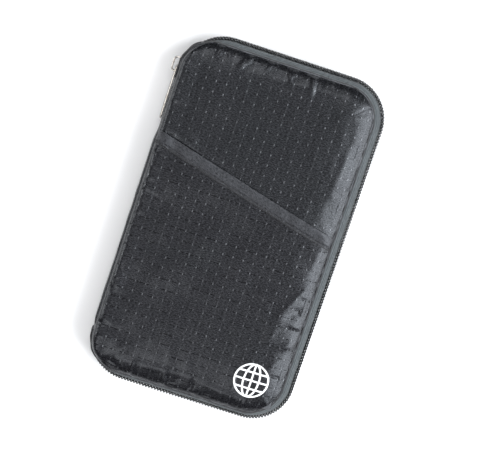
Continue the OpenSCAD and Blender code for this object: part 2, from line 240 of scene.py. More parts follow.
def ripstopCloth(name, base, dash, lineDark, gloss=0.25, sheen=0.015, period=6.67):
    mat, nodes, links = startMaterial(name)
    uvMap = nodes.new("ShaderNodeUVMap")
    uvMap.label = "cloth laid flat"
    uvMap.uv_map = "cloth"
    axes = nodes.new("ShaderNodeSeparateXYZ")
    axes.label = "across and along"
    wander = nodes.new("ShaderNodeTexNoise")
    wander.label = "cords wander a little"
    wander.inputs["Scale"].default_value = 60
    wander.inputs["Detail"].default_value = 2
    wanderSmall = nodes.new("ShaderNodeVectorMath")
    wanderSmall.label = "by 0.7 mm at most"
    wanderSmall.operation = "SCALE"
    wanderSmall.inputs["Scale"].default_value = 0.7 * mm
    wandered = nodes.new("ShaderNodeVectorMath")
    wandered.label = "wandering cords"
    wandered.operation = "ADD"
    links.new(uvMap.outputs["UV"], wander.inputs["Vector"])
    links.new(wander.outputs["Color"], wanderSmall.inputs[0])
    links.new(uvMap.outputs["UV"], wandered.inputs[0])
    links.new(wanderSmall.outputs[0], wandered.inputs[1])
    links.new(wandered.outputs[0], axes.inputs[0])

    toUpright = nodes.new("ShaderNodeMath")
    toUpright.label = "distance to upright cord"
    toUpright.operation = "PINGPONG"
    toUpright.inputs[1].default_value = period * mm / 2
    links.new(axes.outputs["X"], toUpright.inputs[0])
    toLevel = nodes.new("ShaderNodeMath")
    toLevel.label = "distance to level cord"
    toLevel.operation = "PINGPONG"
    toLevel.inputs[1].default_value = period * mm / 2
    links.new(axes.outputs["Y"], toLevel.inputs[0])
    upright = nodes.new("ShaderNodeMapRange")
    upright.label = "upright cord"
    upright.interpolation_type = "SMOOTHSTEP"
    upright.inputs["From Min"].default_value = 0.5 * mm
    upright.inputs["From Max"].default_value = 0.12 * mm
    links.new(toUpright.outputs[0], upright.inputs["Value"])
    level = nodes.new("ShaderNodeMapRange")
    level.label = "level cord"
    level.interpolation_type = "SMOOTHSTEP"
    level.inputs["From Min"].default_value = 0.5 * mm
    level.inputs["From Max"].default_value = 0.12 * mm
    links.new(toLevel.outputs[0], level.inputs["Value"])
    dashLength = nodes.new("ShaderNodeMapRange")
    dashLength.label = "length of a dash"
    dashLength.interpolation_type = "SMOOTHSTEP"
    dashLength.inputs["From Min"].default_value = 0.85 * mm
    dashLength.inputs["From Max"].default_value = 0.3 * mm
    links.new(toLevel.outputs[0], dashLength.inputs["Value"])
    dashes = nodes.new("ShaderNodeMath")
    dashes.label = "dashes where cords cross"
    dashes.operation = "MULTIPLY"
    links.new(upright.outputs[0], dashes.inputs[0])
    links.new(dashLength.outputs[0], dashes.inputs[1])
    # these patches vary how strongly the painted dash highlight shows
    patches = nodes.new("ShaderNodeTexNoise")
    patches.label = "patches where the dash highlight shows"
    patches.inputs["Scale"].default_value = 30
    patches.inputs["Detail"].default_value = 5
    patches.inputs["Roughness"].default_value = 0.6
    links.new(uvMap.outputs["UV"], patches.inputs["Vector"])
    breaks = nodes.new("ShaderNodeTexNoise")
    breaks.label = "cords break up"
    breaks.inputs["Scale"].default_value = 330
    breaks.inputs["Detail"].default_value = 2
    links.new(uvMap.outputs["UV"], breaks.inputs["Vector"])
    yarnStretch = nodes.new("ShaderNodeMapping")
    yarnStretch.label = "yarns are longer than wide"
    yarnStretch.inputs["Scale"].default_value = (0.5, 1.15, 1)
    links.new(uvMap.outputs["UV"], yarnStretch.inputs["Vector"])
    yarns = nodes.new("ShaderNodeTexNoise")
    yarns.label = "single yarns"
    yarns.inputs["Scale"].default_value = 1350
    yarns.inputs["Detail"].default_value = 3
    yarns.inputs["Roughness"].default_value = 0.75
    links.new(yarnStretch.outputs[0], yarns.inputs["Vector"])

    brokenLevel = nodes.new("ShaderNodeMapRange")
    brokenLevel.label = "level cords show in stretches"
    brokenLevel.inputs["From Min"].default_value = 0.42
    brokenLevel.inputs["From Max"].default_value = 0.6
    links.new(breaks.outputs["Fac"], brokenLevel.inputs["Value"])
    shownLevel = nodes.new("ShaderNodeMath")
    shownLevel.label = "level cord that shows"
    shownLevel.operation = "MULTIPLY"
    links.new(level.outputs[0], shownLevel.inputs[0])
    links.new(brokenLevel.outputs[0], shownLevel.inputs[1])
    levelStrength = nodes.new("ShaderNodeMath")
    levelStrength.label = "darkness of the level cords"
    levelStrength.operation = "MULTIPLY"
    levelStrength.inputs[1].default_value = lineDark
    links.new(shownLevel.outputs[0], levelStrength.inputs[0])
    cords = nodes.new("ShaderNodeMath")
    cords.label = "dashes stand up, level cords sink"
    cords.operation = "SUBTRACT"
    links.new(dashes.outputs[0], cords.inputs[0])
    links.new(levelStrength.outputs[0], cords.inputs[1])
    faint = nodes.new("ShaderNodeMath")
    faint.label = "upright cord shows faintly"
    faint.operation = "MULTIPLY"
    faint.inputs[1].default_value = 0.06
    links.new(upright.outputs[0], faint.inputs[0])
    dashFade = nodes.new("ShaderNodeMapRange")
    dashFade.label = "dashes fade in patches"
    dashFade.inputs["From Min"].default_value = 0.34
    dashFade.inputs["From Max"].default_value = 0.6
    dashFade.inputs["To Min"].default_value = 0.2
    links.new(patches.outputs["Fac"], dashFade.inputs["Value"])
    shownDashes = nodes.new("ShaderNodeMath")
    shownDashes.label = "dashes that show"
    shownDashes.operation = "MULTIPLY"
    links.new(dashes.outputs[0], shownDashes.inputs[0])
    links.new(dashFade.outputs[0], shownDashes.inputs[1])
    lightCord = nodes.new("ShaderNodeMath")
    lightCord.label = "dashes and faint cord"
    lightCord.operation = "MAXIMUM"
    links.new(shownDashes.outputs[0], lightCord.inputs[0])
    links.new(faint.outputs[0], lightCord.inputs[1])

    yarnContrast = nodes.new("ShaderNodeMapRange")
    yarnContrast.label = "yarn contrast"
    yarnContrast.inputs["From Min"].default_value = 0.34
    yarnContrast.inputs["From Max"].default_value = 0.68
    links.new(yarns.outputs["Fac"], yarnContrast.inputs["Value"])
    dye = nodes.new("ShaderNodeMix")
    dye.label = "dark and light yarns"
    dye.data_type = "RGBA"
    dye.inputs["A"].default_value = (*[c * 0.3 for c in base], 1)
    dye.inputs["B"].default_value = (*[c * 2.3 for c in base], 1)
    links.new(yarnContrast.outputs[0], dye.inputs["Factor"])
    # painted shade: the level cords are darkened in the colour to stand for the light they miss; the cords
    # themselves are real
    levelCordShade = nodes.new("ShaderNodeMix")
    levelCordShade.label = "level cords painted darker as shade"
    levelCordShade.data_type = "RGBA"
    levelCordShade.inputs["B"].default_value = (*[c * 0.25 for c in base], 1)
    links.new(levelStrength.outputs[0], levelCordShade.inputs["Factor"])
    links.new(dye.outputs["Result"], levelCordShade.inputs["A"])
    # painted highlight: the crossing dashes and the faint upright cords are made lighter in the colour where
    # real cords would catch light; the cord grid and its relief are real
    withDashHighlight = nodes.new("ShaderNodeMix")
    withDashHighlight.label = "dashes painted lighter as highlight"
    withDashHighlight.data_type = "RGBA"
    withDashHighlight.inputs["B"].default_value = (*dash, 1)
    links.new(lightCord.outputs[0], withDashHighlight.inputs["Factor"])
    links.new(levelCordShade.outputs["Result"], withDashHighlight.inputs["A"])

    rough = nodes.new("ShaderNodeMapRange")
    rough.label = "shine varies from yarn to yarn"
    rough.inputs["From Min"].default_value = 0.3
    rough.inputs["From Max"].default_value = 0.7
    rough.inputs["To Min"].default_value = gloss - 0.12
    rough.inputs["To Max"].default_value = gloss + 0.12
    links.new(yarns.outputs["Fac"], rough.inputs["Value"])
    shine = nodes.new("ShaderNodeMapRange")
    shine.label = "flat yarns shine more"
    shine.inputs["To Min"].default_value = 0.14
    shine.inputs["To Max"].default_value = 0.62
    links.new(yarnContrast.outputs[0], shine.inputs["Value"])
    dullCord = nodes.new("ShaderNodeMath")
    dullCord.label = "level cords shine less"
    dullCord.operation = "MULTIPLY_ADD"
    dullCord.inputs[1].default_value = -0.75
    dullCord.inputs[2].default_value = 1.0
    links.new(levelStrength.outputs[0], dullCord.inputs[0])
    shineCords = nodes.new("ShaderNodeMath")
    shineCords.label = "shine with level cords"
    shineCords.operation = "MULTIPLY"
    links.new(shine.outputs[0], shineCords.inputs[0])
    links.new(dullCord.outputs[0], shineCords.inputs[1])
    shineAll = nodes.new("ShaderNodeMath")
    shineAll.label = "dashes glint"
    shineAll.operation = "MULTIPLY_ADD"
    shineAll.inputs[1].default_value = 0.75
    links.new(lightCord.outputs[0], shineAll.inputs[0])
    links.new(shineCords.outputs[0], shineAll.inputs[2])
    cordBump = nodes.new("ShaderNodeBump")
    cordBump.label = "cord relief"
    cordBump.inputs["Strength"].default_value = 0.3
    cordBump.inputs["Distance"].default_value = 0.14 * mm
    links.new(cords.outputs[0], cordBump.inputs["Height"])
    yarnBump = nodes.new("ShaderNodeBump")
    yarnBump.label = "yarn relief"
    yarnBump.inputs["Strength"].default_value = 0.35
    yarnBump.inputs["Distance"].default_value = 0.22 * mm
    links.new(yarns.outputs["Fac"], yarnBump.inputs["Height"])
    links.new(cordBump.outputs[0], yarnBump.inputs["Normal"])
    crease = nodes.new("ShaderNodeTexNoise")
    crease.label = "fine creases"
    crease.inputs["Scale"].default_value = 210
    crease.inputs["Detail"].default_value = 4
    links.new(uvMap.outputs["UV"], crease.inputs["Vector"])
    creaseBump = nodes.new("ShaderNodeBump")
    creaseBump.label = "crease relief"
    creaseBump.inputs["Strength"].default_value = 0.22
    creaseBump.inputs["Distance"].default_value = 0.35 * mm
    links.new(crease.outputs["Fac"], creaseBump.inputs["Height"])
    links.new(yarnBump.outputs[0], creaseBump.inputs["Normal"])

    shader = nodes.new("ShaderNodeBsdfPrincipled")
    shader.label = "nylon"
    shader.inputs["Sheen Weight"].default_value = sheen
    shader.inputs["Sheen Roughness"].default_value = 0.4
    shader.inputs["Sheen Tint"].default_value = (0.82, 0.88, 1, 1)
    links.new(shineAll.outputs[0], shader.inputs["Specular IOR Level"])
    shader.inputs["Specular Tint"].default_value = (0.9, 0.94, 1, 1)
    links.new(withDashHighlight.outputs["Result"], shader.inputs["Base Color"])
    links.new(rough.outputs[0], shader.inputs["Roughness"])
    links.new(creaseBump.outputs[0], shader.inputs["Normal"])
    out = nodes.new("ShaderNodeOutputMaterial")
    links.new(shader.outputs[0], out.inputs["Surface"])
    arrange([("cord grid", [uvMap, wander, wanderSmall, wandered, axes, toUpright, toLevel, upright, level]),
             ("dashes and stretches", [dashLength, dashes, cords, patches, breaks, brokenLevel, shownLevel,
                                       levelStrength, faint, dashFade, shownDashes, lightCord]),
             ("yarns", [yarnStretch, yarns, yarnContrast, dye, levelCordShade, withDashHighlight, rough]),
             ("shine", [shine, dullCord, shineCords, shineAll]),
             ("relief", [cordBump, yarnBump, crease, creaseBump, shader, out])], nodes)
    return mat


def ribbedCloth(name, base, light, ribU, ribV, roughness=0.75, relief=0.6, sheen=0.15, twill=0.0):
    # tape, grosgrain, elastic and lining: ribs along and across, leaning by twill
    mat, nodes, links = startMaterial(name)
    uvMap = nodes.new("ShaderNodeUVMap")
    uvMap.label = "along and across"
    uvMap.uv_map = "cloth"
    axes = nodes.new("ShaderNodeSeparateXYZ")
    axes.label = "along, across"
    links.new(uvMap.outputs["UV"], axes.inputs[0])
    chevron = nodes.new("ShaderNodeMath")
    chevron.label = "herringbone fold"
    chevron.operation = "PINGPONG"
    chevron.inputs[1].default_value = 1.3 * mm
    links.new(axes.outputs["Y"], chevron.inputs[0])
    lean = nodes.new("ShaderNodeMath")
    lean.label = "lean of the ribs"
    lean.operation = "MULTIPLY_ADD"
    lean.inputs[1].default_value = twill
    links.new(chevron.outputs[0], lean.inputs[0])
    links.new(axes.outputs["X"], lean.inputs[2])
    ribsAlong = nodes.new("ShaderNodeMath")
    ribsAlong.label = "ribs along"
    ribsAlong.operation = "PINGPONG"
    ribsAlong.inputs[1].default_value = ribU * mm / 2
    links.new(lean.outputs[0], ribsAlong.inputs[0])
    ribsAcross = nodes.new("ShaderNodeMath")
    ribsAcross.label = "ribs across"
    ribsAcross.operation = "PINGPONG"
    ribsAcross.inputs[1].default_value = ribV * mm / 2
    links.new(axes.outputs["Y"], ribsAcross.inputs[0])
    ribs = nodes.new("ShaderNodeMath")
    ribs.label = "ribs together"
    ribs.operation = "ADD"
    links.new(ribsAlong.outputs[0], ribs.inputs[0])
    links.new(ribsAcross.outputs[0], ribs.inputs[1])
    # painted highlight: the colour goes from base towards light on the rib tops, varied by the fuzz
    ribShade = nodes.new("ShaderNodeMapRange")
    ribShade.label = "light on rib tops"
    ribShade.inputs["From Max"].default_value = (ribU + ribV) * mm / 2
    links.new(ribs.outputs[0], ribShade.inputs["Value"])
    mottle = nodes.new("ShaderNodeTexNoise")
    mottle.label = "fuzz and wear"
    mottle.inputs["Scale"].default_value = 420
    mottle.inputs["Detail"].default_value = 5
    mottle.inputs["Roughness"].default_value = 0.7
    links.new(uvMap.outputs["UV"], mottle.inputs["Vector"])
    shade = nodes.new("ShaderNodeMath")
    shade.label = "ribs with fuzz"
    shade.operation = "MULTIPLY"
    links.new(ribShade.outputs[0], shade.inputs[0])
    links.new(mottle.outputs["Fac"], shade.inputs[1])
    spread = nodes.new("ShaderNodeMapRange")
    spread.label = "contrast"
    spread.inputs["From Min"].default_value = 0.1
    spread.inputs["From Max"].default_value = 0.42
    links.new(shade.outputs[0], spread.inputs["Value"])
    colour = nodes.new("ShaderNodeMix")
    colour.label = "yarn colour with painted rib light"
    colour.data_type = "RGBA"
    colour.inputs["A"].default_value = (*base, 1)
    colour.inputs["B"].default_value = (*light, 1)
    links.new(spread.outputs[0], colour.inputs["Factor"])
    ribBump = nodes.new("ShaderNodeBump")
    ribBump.label = "rib relief"
    ribBump.inputs["Strength"].default_value = relief
    ribBump.inputs["Distance"].default_value = 0.6
    links.new(ribs.outputs[0], ribBump.inputs["Height"])
    fuzzBump = nodes.new("ShaderNodeBump")
    fuzzBump.label = "fuzz relief"
    fuzzBump.inputs["Strength"].default_value = 0.4
    fuzzBump.inputs["Distance"].default_value = 0.15 * mm
    links.new(mottle.outputs["Fac"], fuzzBump.inputs["Height"])
    links.new(ribBump.outputs[0], fuzzBump.inputs["Normal"])
    rough = nodes.new("ShaderNodeMapRange")
    rough.label = "dry fuzz"
    rough.inputs["To Min"].default_value = roughness - 0.1
    rough.inputs["To Max"].default_value = roughness + 0.15
    links.new(mottle.outputs["Fac"], rough.inputs["Value"])
    shader = nodes.new("ShaderNodeBsdfPrincipled")
    shader.label = "woven yarn"
    shader.inputs["Sheen Weight"].default_value = sheen
    shader.inputs["Sheen Roughness"].default_value = 0.5
    links.new(colour.outputs["Result"], shader.inputs["Base Color"])
    links.new(rough.outputs[0], shader.inputs["Roughness"])
    links.new(fuzzBump.outputs[0], shader.inputs["Normal"])
    out = nodes.new("ShaderNodeOutputMaterial")
    links.new(shader.outputs[0], out.inputs["Surface"])
    arrange([("ribs", [uvMap, axes, chevron, lean, ribsAlong, ribsAcross, ribs, ribShade]),
             ("fuzz", [mottle, shade, spread, colour, rough]),
             ("relief", [ribBump, fuzzBump, shader, out])], nodes)
    return mat


def smoothStuff(name, base, metallic=0.0, roughness=0.4, grain=600, relief=0.15, wear=None,
                sheen=0.0, coat=0.0):
    # metal, nylon coil, thread, print and floor: object-space grain with rubbed patches
    mat, nodes, links = startMaterial(name)
    coords = nodes.new("ShaderNodeTexCoord")
    coords.label = "place on the piece"
    fine = nodes.new("ShaderNodeTexNoise")
    fine.label = "fine grain"
    fine.inputs["Scale"].default_value = grain
    fine.inputs["Detail"].default_value = 4
    links.new(coords.outputs["Object"], fine.inputs["Vector"])
    broad = nodes.new("ShaderNodeTexNoise")
    broad.label = "handling marks"
    broad.inputs["Scale"].default_value = grain / 6
    broad.inputs["Detail"].default_value = 5
    broad.inputs["Roughness"].default_value = 0.65
    links.new(coords.outputs["Object"], broad.inputs["Vector"])
    rubbed = nodes.new("ShaderNodeMapRange")
    rubbed.label = "rubbed patches"
    rubbed.inputs["From Min"].default_value = 0.42
    rubbed.inputs["From Max"].default_value = 0.68
    links.new(broad.outputs["Fac"], rubbed.inputs["Value"])
    colour = nodes.new("ShaderNodeMix")
    colour.label = "finish"
    colour.data_type = "RGBA"
    colour.inputs["A"].default_value = (*base, 1)
    colour.inputs["B"].default_value = (*(wear or [c * 0.75 for c in base]), 1)
    links.new(rubbed.outputs[0], colour.inputs["Factor"])
    rough = nodes.new("ShaderNodeMapRange")
    rough.label = "polish varies"
    rough.inputs["To Min"].default_value = max(0.03, roughness - 0.1)
    rough.inputs["To Max"].default_value = roughness + 0.14
    links.new(broad.outputs["Fac"], rough.inputs["Value"])
    bump = nodes.new("ShaderNodeBump")
    bump.label = "grain relief"
    bump.inputs["Strength"].default_value = relief
    bump.inputs["Distance"].default_value = 0.1 * mm
    links.new(fine.outputs["Fac"], bump.inputs["Height"])
    shader = nodes.new("ShaderNodeBsdfPrincipled")
    shader.label = "surface"
    shader.inputs["Metallic"].default_value = metallic
    shader.inputs["Sheen Weight"].default_value = sheen
    shader.inputs["Coat Weight"].default_value = coat
    links.new(colour.outputs["Result"], shader.inputs["Base Color"])
    links.new(rough.outputs[0], shader.inputs["Roughness"])
    links.new(bump.outputs[0], shader.inputs["Normal"])
    out = nodes.new("ShaderNodeOutputMaterial")
    links.new(shader.outputs[0], out.inputs["Surface"])
    arrange([("grain", [coords, fine, broad, bump]),
             ("finish", [rubbed, colour, rough, shader, out])], nodes)
    return mat


ripstop = ripstopCloth("ripstop nylon", (0.0045, 0.0047, 0.0056), (0.075, 0.078, 0.083), 0.5)
pocketRipstop = ripstopCloth("slip pocket ripstop", (0.0045, 0.0044, 0.0054), (0.06, 0.062, 0.066), 1.0)
hemCloth = ripstopCloth("folded hem", (0.018, 0.0183, 0.0205), (0.03, 0.03, 0.033), 0.0,
                        gloss=0.42, period=1000)
tapeCloth = ribbedCloth("zip tape", (0.017, 0.022, 0.025), (0.1, 0.117, 0.125), 0.75, 1.1, 0.6, 0.8,
                        0.15, 1.0)
bindCloth = ribbedCloth("seam binding", (0.014, 0.014, 0.016), (0.045, 0.046, 0.05), 0.5, 0.5, 0.7, 0.6)
liningCloth = ribbedCloth("lining", (0.075, 0.08, 0.092), (0.13, 0.137, 0.155), 0.4, 0.4, 0.7, 0.5, 0.25)
pocketCloth = ribbedCloth("pocket cloth", (0.043, 0.045, 0.052), (0.085, 0.09, 0.1), 0.45, 0.45, 0.65,
                          0.5, 0.25)
elasticCloth = ribbedCloth("elastic", (0.016, 0.016, 0.018), (0.06, 0.06, 0.066), 0.9, 0.35, 0.75, 0.9)
coilNylon = smoothStuff("coil nylon", (0.005, 0.006, 0.007), 0, 0.28, 900, 0.1, (0.014, 0.016, 0.018),
                        coat=0.15)
threadYarn = smoothStuff("sewing thread", (0.006, 0.006, 0.007), 0, 0.6, 2500, 0.5,
                         (0.016, 0.016, 0.018), sheen=0.05)
nickel = smoothStuff("nickel plate", (0.5, 0.48, 0.45), 1, 0.2, 700, 0.12, (0.32, 0.29, 0.25))
whiteInk = smoothStuff("white print", (0.86, 0.87, 0.88), 0, 0.5, 1800, 0.35, (0.78, 0.79, 0.8))
gunmetal = smoothStuff("blackened metal", (0.06, 0.06, 0.062), 1, 0.35, 900, 0.2, (0.16, 0.16, 0.16))
print("materials done")


# ---- padded covers ----

seam = {"top": 5.6, "right": 7.2, "bottom": 4.6, "left": 0.4, "radius": 21.0, "height": 6.8}
padding = {"zipRoll": 8.2, "spineRoll": 1.1, "rise": 5.7, "crown": 0.9, "backRise": 5.8}
seamLeft, seamRight = spineX + seam["left"], zipX - seam["right"]
seamLow, seamHigh = -endY + seam["bottom"], endY - seam["top"]
coverMid = np.array([(seamLeft + seamRight) / 2, (seamLow + seamHigh) / 2])
coverHalf = np.array([(seamRight - seamLeft) / 2, (seamHigh - seamLow) / 2])


def seamDistance(x, y):
    # how far a point lies inside the seam, a rounded rectangle
    qx = abs(x - coverMid[0]) - (coverHalf[0] - seam["radius"])
    qy = abs(y - coverMid[1]) - (coverHalf[1] - seam["radius"])
    outside = np.hypot(np.maximum(qx, 0), np.maximum(qy, 0))
    return seam["radius"] - outside - np.minimum(np.maximum(qx, qy), 0)


def padHeight(x, y, rise, crown):
    # steep up from the seam, easing off over the roll, then a slow crown towards the middle
    d = np.maximum(seamDistance(x, y), 0)
    towardsSpine = smoothStep((seamLeft + 16 - x) / 12)
    width = padding["zipRoll"] + (padding["spineRoll"] - padding["zipRoll"]) * towardsSpine
    return rise * (1 - np.exp(-d / width)) ** 0.72 + crown * (1 - np.exp(-d / 16))


def alongSeam(x, y):
    # distance round the seam of the nearest point on it, counted from the middle of the zip side
    px, py = abs(x - coverMid[0]), abs(y - coverMid[1])
    straight = coverHalf - seam["radius"]
    turn = np.arctan2(np.maximum(py - straight[1], 0), np.maximum(px - straight[0], 0))
    side = px - straight[0] > py - straight[1]
    corner = (px > straight[0]) & (py > straight[1])
    arc = seam["radius"] * math.pi / 2
    s = np.where(corner, straight[1] + seam["radius"] * turn,
                 np.where(side, np.minimum(py, straight[1]),
                          straight[1] + arc + straight[0] - np.minimum(px, straight[0])))
    quarter = straight[1] + arc + straight[0]
    s = np.where(x < coverMid[0], 2 * quarter - s, s)
    return np.where(y < coverMid[1], 4 * quarter - s, s), 4 * quarter


wrinkle = {"swell": 0.13, "swellSize": 38, "dimple": 0.05, "dimpleSize": 12, "puckers": 190, "tall": 0.33,
           "lean": 0.25}


def padWrinkles(x, y, seed):
    # slow swells, puckers that run in from the seam, and slack folds near the zip
    d = seamDistance(x, y)
    s, around = alongSeam(x, y)
    rng = np.random.default_rng(seed)
    height = wrinkle["swell"] * ripple(x, y, wrinkle["swellSize"], seed + 40) \
        + wrinkle["dimple"] * ripple(x, y, wrinkle["dimpleSize"], seed + 41)
    onEnds = smoothStep((abs(y - coverMid[1]) - coverHalf[1] + 30) / 14)
    onCorners = onEnds * smoothStep((abs(x - coverMid[0]) - coverHalf[0] + 24) / 12)
    ends = 0.5 + 0.6 * onEnds - 0.6 * onCorners
    for _ in range(wrinkle["puckers"]):
        place, wide, deep = rng.uniform(0, around), rng.uniform(0.9, 2.7), rng.uniform(3, 10.5)
        tall = rng.normal(0, wrinkle["tall"]) * (0.5 + deep / 10)
        lean = rng.normal(0, wrinkle["lean"])
        gap = (s - place + lean * d + around / 2) % around - around / 2
        height += ends * tall * np.exp(-(gap / wide) ** 2) * np.exp(-((d - 0.5 * deep) / (0.7 * deep)) ** 2)
    for fx, fy, angle, length, wide, tall in slackFolds:
        c, n = math.cos(math.radians(angle)), math.sin(math.radians(angle))
        u, v = (x - midX - fx) * c + (y - fy) * n, -(x - midX - fx) * n + (y - fy) * c
        height += tall * np.exp(-(u / length) ** 2 - (v / wide) ** 2)
    return height * smoothStep(d / 2.2)


# each fold: place from the middle, angle, half length, half width, height
slackFolds = [(47, -33, 62, 17, 2.6, 0.75), (52, -38, 30, 10, 3.0, -0.5), (42, -52, 72, 15, 3.2, 0.55),
              (53, -60, 38, 9, 2.4, 0.6), (49, -74, 56, 11, 2.8, 0.45), (37, -31, 8, 12, 2.5, 0.4),
              (55, 8, 80, 22, 2.6, 0.4), (50, 62, 84, 24, 3.0, 0.35), (-45, 45, -24, 17, 4.5, 0.9),
              (-30, 38, -18, 14, 4.0, -0.5), (-52, 58, -60, 14, 3.0, 0.35), (-20, -99, 4, 26, 2.6, 0.45),
              (24, -101, -6, 18, 2.4, 0.4), (-44, -92, 40, 12, 3.0, 0.4), (10, 100, 3, 24, 2.4, 0.4)]


def coverGrid(rows, cols):
    # rows across the cover, each as wide as the rounded outline lets it be, closer together near the seam
    t = np.linspace(-1, 1, rows)
    y = coverHalf[1] * (0.6 * t + 0.4 * np.sin(np.pi * t / 2))
    s = np.linspace(-1, 1, cols)
    a = 0.6 * s + 0.4 * np.sin(np.pi * s / 2)
    over = np.maximum(abs(y) - (coverHalf[1] - seam["radius"]), 0)
    half = coverHalf[0] - seam["radius"] + np.sqrt(np.maximum(seam["radius"] ** 2 - over ** 2, 0))
    return coverMid[0] + half[:, None] * a[None], coverMid[1] + np.repeat(y[:, None], cols, 1)


def clothUv(x, y, height, full):
    # flat place of the cloth: the drop at the rim is laid out beyond the edge
    d = seamDistance(x, y)
    ox, oy = x - np.clip(x, seamLeft + 22, seamRight - 22), y - np.clip(y, seamLow + 22, seamHigh - 22)
    r = np.maximum(np.hypot(ox, oy), 1e-6)
    spill = 0.75 * (full - height) * smoothStep((12 - d) / 10)
    return np.stack([x + ox / r * spill, y + oy / r * spill], -1)


def coverRise(x, y, rise, crown, wrinkle, seed):
    # padded height with its wrinkles, never so low that it would touch the lining inside
    d = seamDistance(x, y)
    h = padHeight(x, y, rise, crown) + wrinkle * padWrinkles(x, y, seed)
    return np.maximum(h, 2.4 * smoothStep(d / 4.5) + 0.75 * smoothStep(d / 1.5))


def coverSheet(name, rise, crown, wrinkle, seed, top, material):
    x, y = coverGrid(276, 164)
    h = coverRise(x, y, rise, crown, wrinkle, seed)
    seamZ = walletTop - seam["height"] if top else panelTop - walletTop + seam["height"]
    if not top:
        h = np.minimum(h, seamZ - 0.02)                     # the back lies flat on the table
    z = seamZ + h if top else seamZ - h
    uv = clothUv(x, y, h, rise + crown)
    obj = buildMesh(name, [{"points": np.stack([x, y, z], -1), "uv": uv}], material, flip=not top)
    return solidify(obj, 0.5)


frontCover = coverSheet("frontCover", padding["rise"], padding["crown"], 1.0, 11, True, ripstop)
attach(frontCover, "front_cover")
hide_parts("front_outer_panel", "front_foam", "front_shield")
backCover = coverSheet("backCover", padding["backRise"], 0.25, 0.6, 31, False, ripstop)
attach(backCover, "back_cover")
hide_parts("back_outer_panel", "back_foam", "back_shield")
print("covers done")


# ---- slip pocket on the front ----

pocket = {"gap": 0.12, "thickness": 0.45, "mouthY": 29.7, "mouthAngle": 14.5, "hemWidth": 7.8,
          "hemRise": 0.8, "flatWidth": 130, "flatLength": 160}
mouthSlope = -math.tan(math.radians(pocket["mouthAngle"]))


def mouthLine(x):
    return pocket["mouthY"] + mouthSlope * (x - midX)


def frontHeight(x, y):
    return walletTop - seam["height"] + coverRise(x, y, padding["rise"], padding["crown"], 1.0, 11)


def halfWidthAt(y):
    over = np.maximum(abs(y - coverMid[1]) - (coverHalf[1] - seam["radius"]), 0)
    return coverHalf[0] - seam["radius"] + np.sqrt(np.maximum(seam["radius"] ** 2 - over ** 2, 0))


def slipPocketSheet():
    # rows fan from the straight bottom seam to the sloping mouth; the sheet lies just over the cover
    rows, cols = 210, 160
    s = np.linspace(-1, 1, cols)
    a = 0.6 * s + 0.4 * np.sin(np.pi * s / 2)
    t = np.linspace(0, 1, rows)
    t = 0.75 * t + 0.25 * (1 - np.cos(np.pi * t / 2))
    x = coverMid[0] + coverHalf[0] * a[None] + np.zeros((rows, 1))
    top = mouthLine(x[0]) - 0.2
    y = seamLow + (top - seamLow)[None] * t[:, None]
    half = halfWidthAt(y)
    x = coverMid[0] + np.minimum(half, coverHalf[0]) * a[None]
    y = seamLow + (mouthLine(x) - 0.2 - seamLow) * t[:, None]
    x = coverMid[0] + halfWidthAt(y) * a[None]
    inside = smoothStep(seamDistance(x, y) / 4)
    lift = pocket["gap"] + pocket["thickness"] + 0.12 * inside * (1 + ripple(x, y, 30, 51))
    lift = lift * smoothStep(seamDistance(x, y) / 1.2 + 0.35)
    z = frontHeight(x, y) + lift
    uv = clothUv(x, y, z - walletTop + seam["height"], padding["rise"] + padding["crown"])
    return buildMesh("slipPocket", [{"points": np.stack([x, y, z], -1), "uv": uv + [2.1, 1.7]}],
                     pocketRipstop)


slipPocket = solidify(slipPocketSheet(), pocket["thickness"])
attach(slipPocket, "front_cover")
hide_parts("slip_pocket_panel")


def slipHemBand():
    # folded band along the mouth: a flattened loop of cloth, thicker at its upper fold
    cols, rows = 190, 44
    s = np.linspace(-1, 1, cols)
    x = coverMid[0] + (coverHalf[0] - 0.5) * s
    angle = np.linspace(0, 2 * np.pi, rows, endpoint=False)
    across = np.sign(np.cos(angle)) * abs(np.cos(angle)) ** 0.62
    puff = np.sign(np.sin(angle)) * abs(np.sin(angle)) ** 0.8
    middle = mouthLine(x) - pocket["hemWidth"] / 2 / math.cos(math.radians(pocket["mouthAngle"])) + 0.3
    offset = across * pocket["hemWidth"] / 2
    y = middle[:, None] + offset[None] * math.cos(math.radians(pocket["mouthAngle"]))
    xx = x[:, None] + offset[None] * math.sin(math.radians(pocket["mouthAngle"]))
    xx = np.clip(xx, seamLeft + 0.1, seamRight - 0.1)
    fold = smoothStep((across + 1) / 2)
    thick = pocket["hemRise"] * (0.55 + 0.45 * fold)[None] * (1 + 0.22 * ripple(xx, y, 9, 71))
    groove = np.exp(-((offset + pocket["hemWidth"] / 2 - 1.1) / 0.5) ** 2)
    thick = thick * (1 - 0.95 * groove[None])                # the stitching pulls the fold down
    edge = smoothStep(seamDistance(xx, y) / 2.5 + 0.3)
    z = frontHeight(xx, y) \
        + (pocket["gap"] + pocket["thickness"] + 0.2 + thick * (0.55 + 0.5 * puff[None])) * edge
    uv = np.stack(np.broadcast_arrays(x[:, None] * 0.97, offset[None] + 0.25 * x[:, None]), -1) + 200
    return buildMesh("slipHem",
                     [{"points": np.stack([xx, y, z], -1), "uv": uv, "wrapCols": True, "cap": True}],
                     hemCloth, closed=True)


slipHem = slipHemBand()
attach(slipHem, "front_cover")
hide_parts("slip_pocket_hem")


def surfaceLine(x, y, above):
    # a line laid on the front, with the way up from the surface at each point
    step = 0.3
    z = frontHeight(x, y)
    dx = (frontHeight(x + step, y) - frontHeight(x - step, y)) / (2 * step)
    dy = (frontHeight(x, y + step) - frontHeight(x, y - step)) / (2 * step)
    up = unit(np.stack([-dx, -dy, np.ones_like(x)], 1))
    return np.stack([x, y, z], 1) + up * above, up


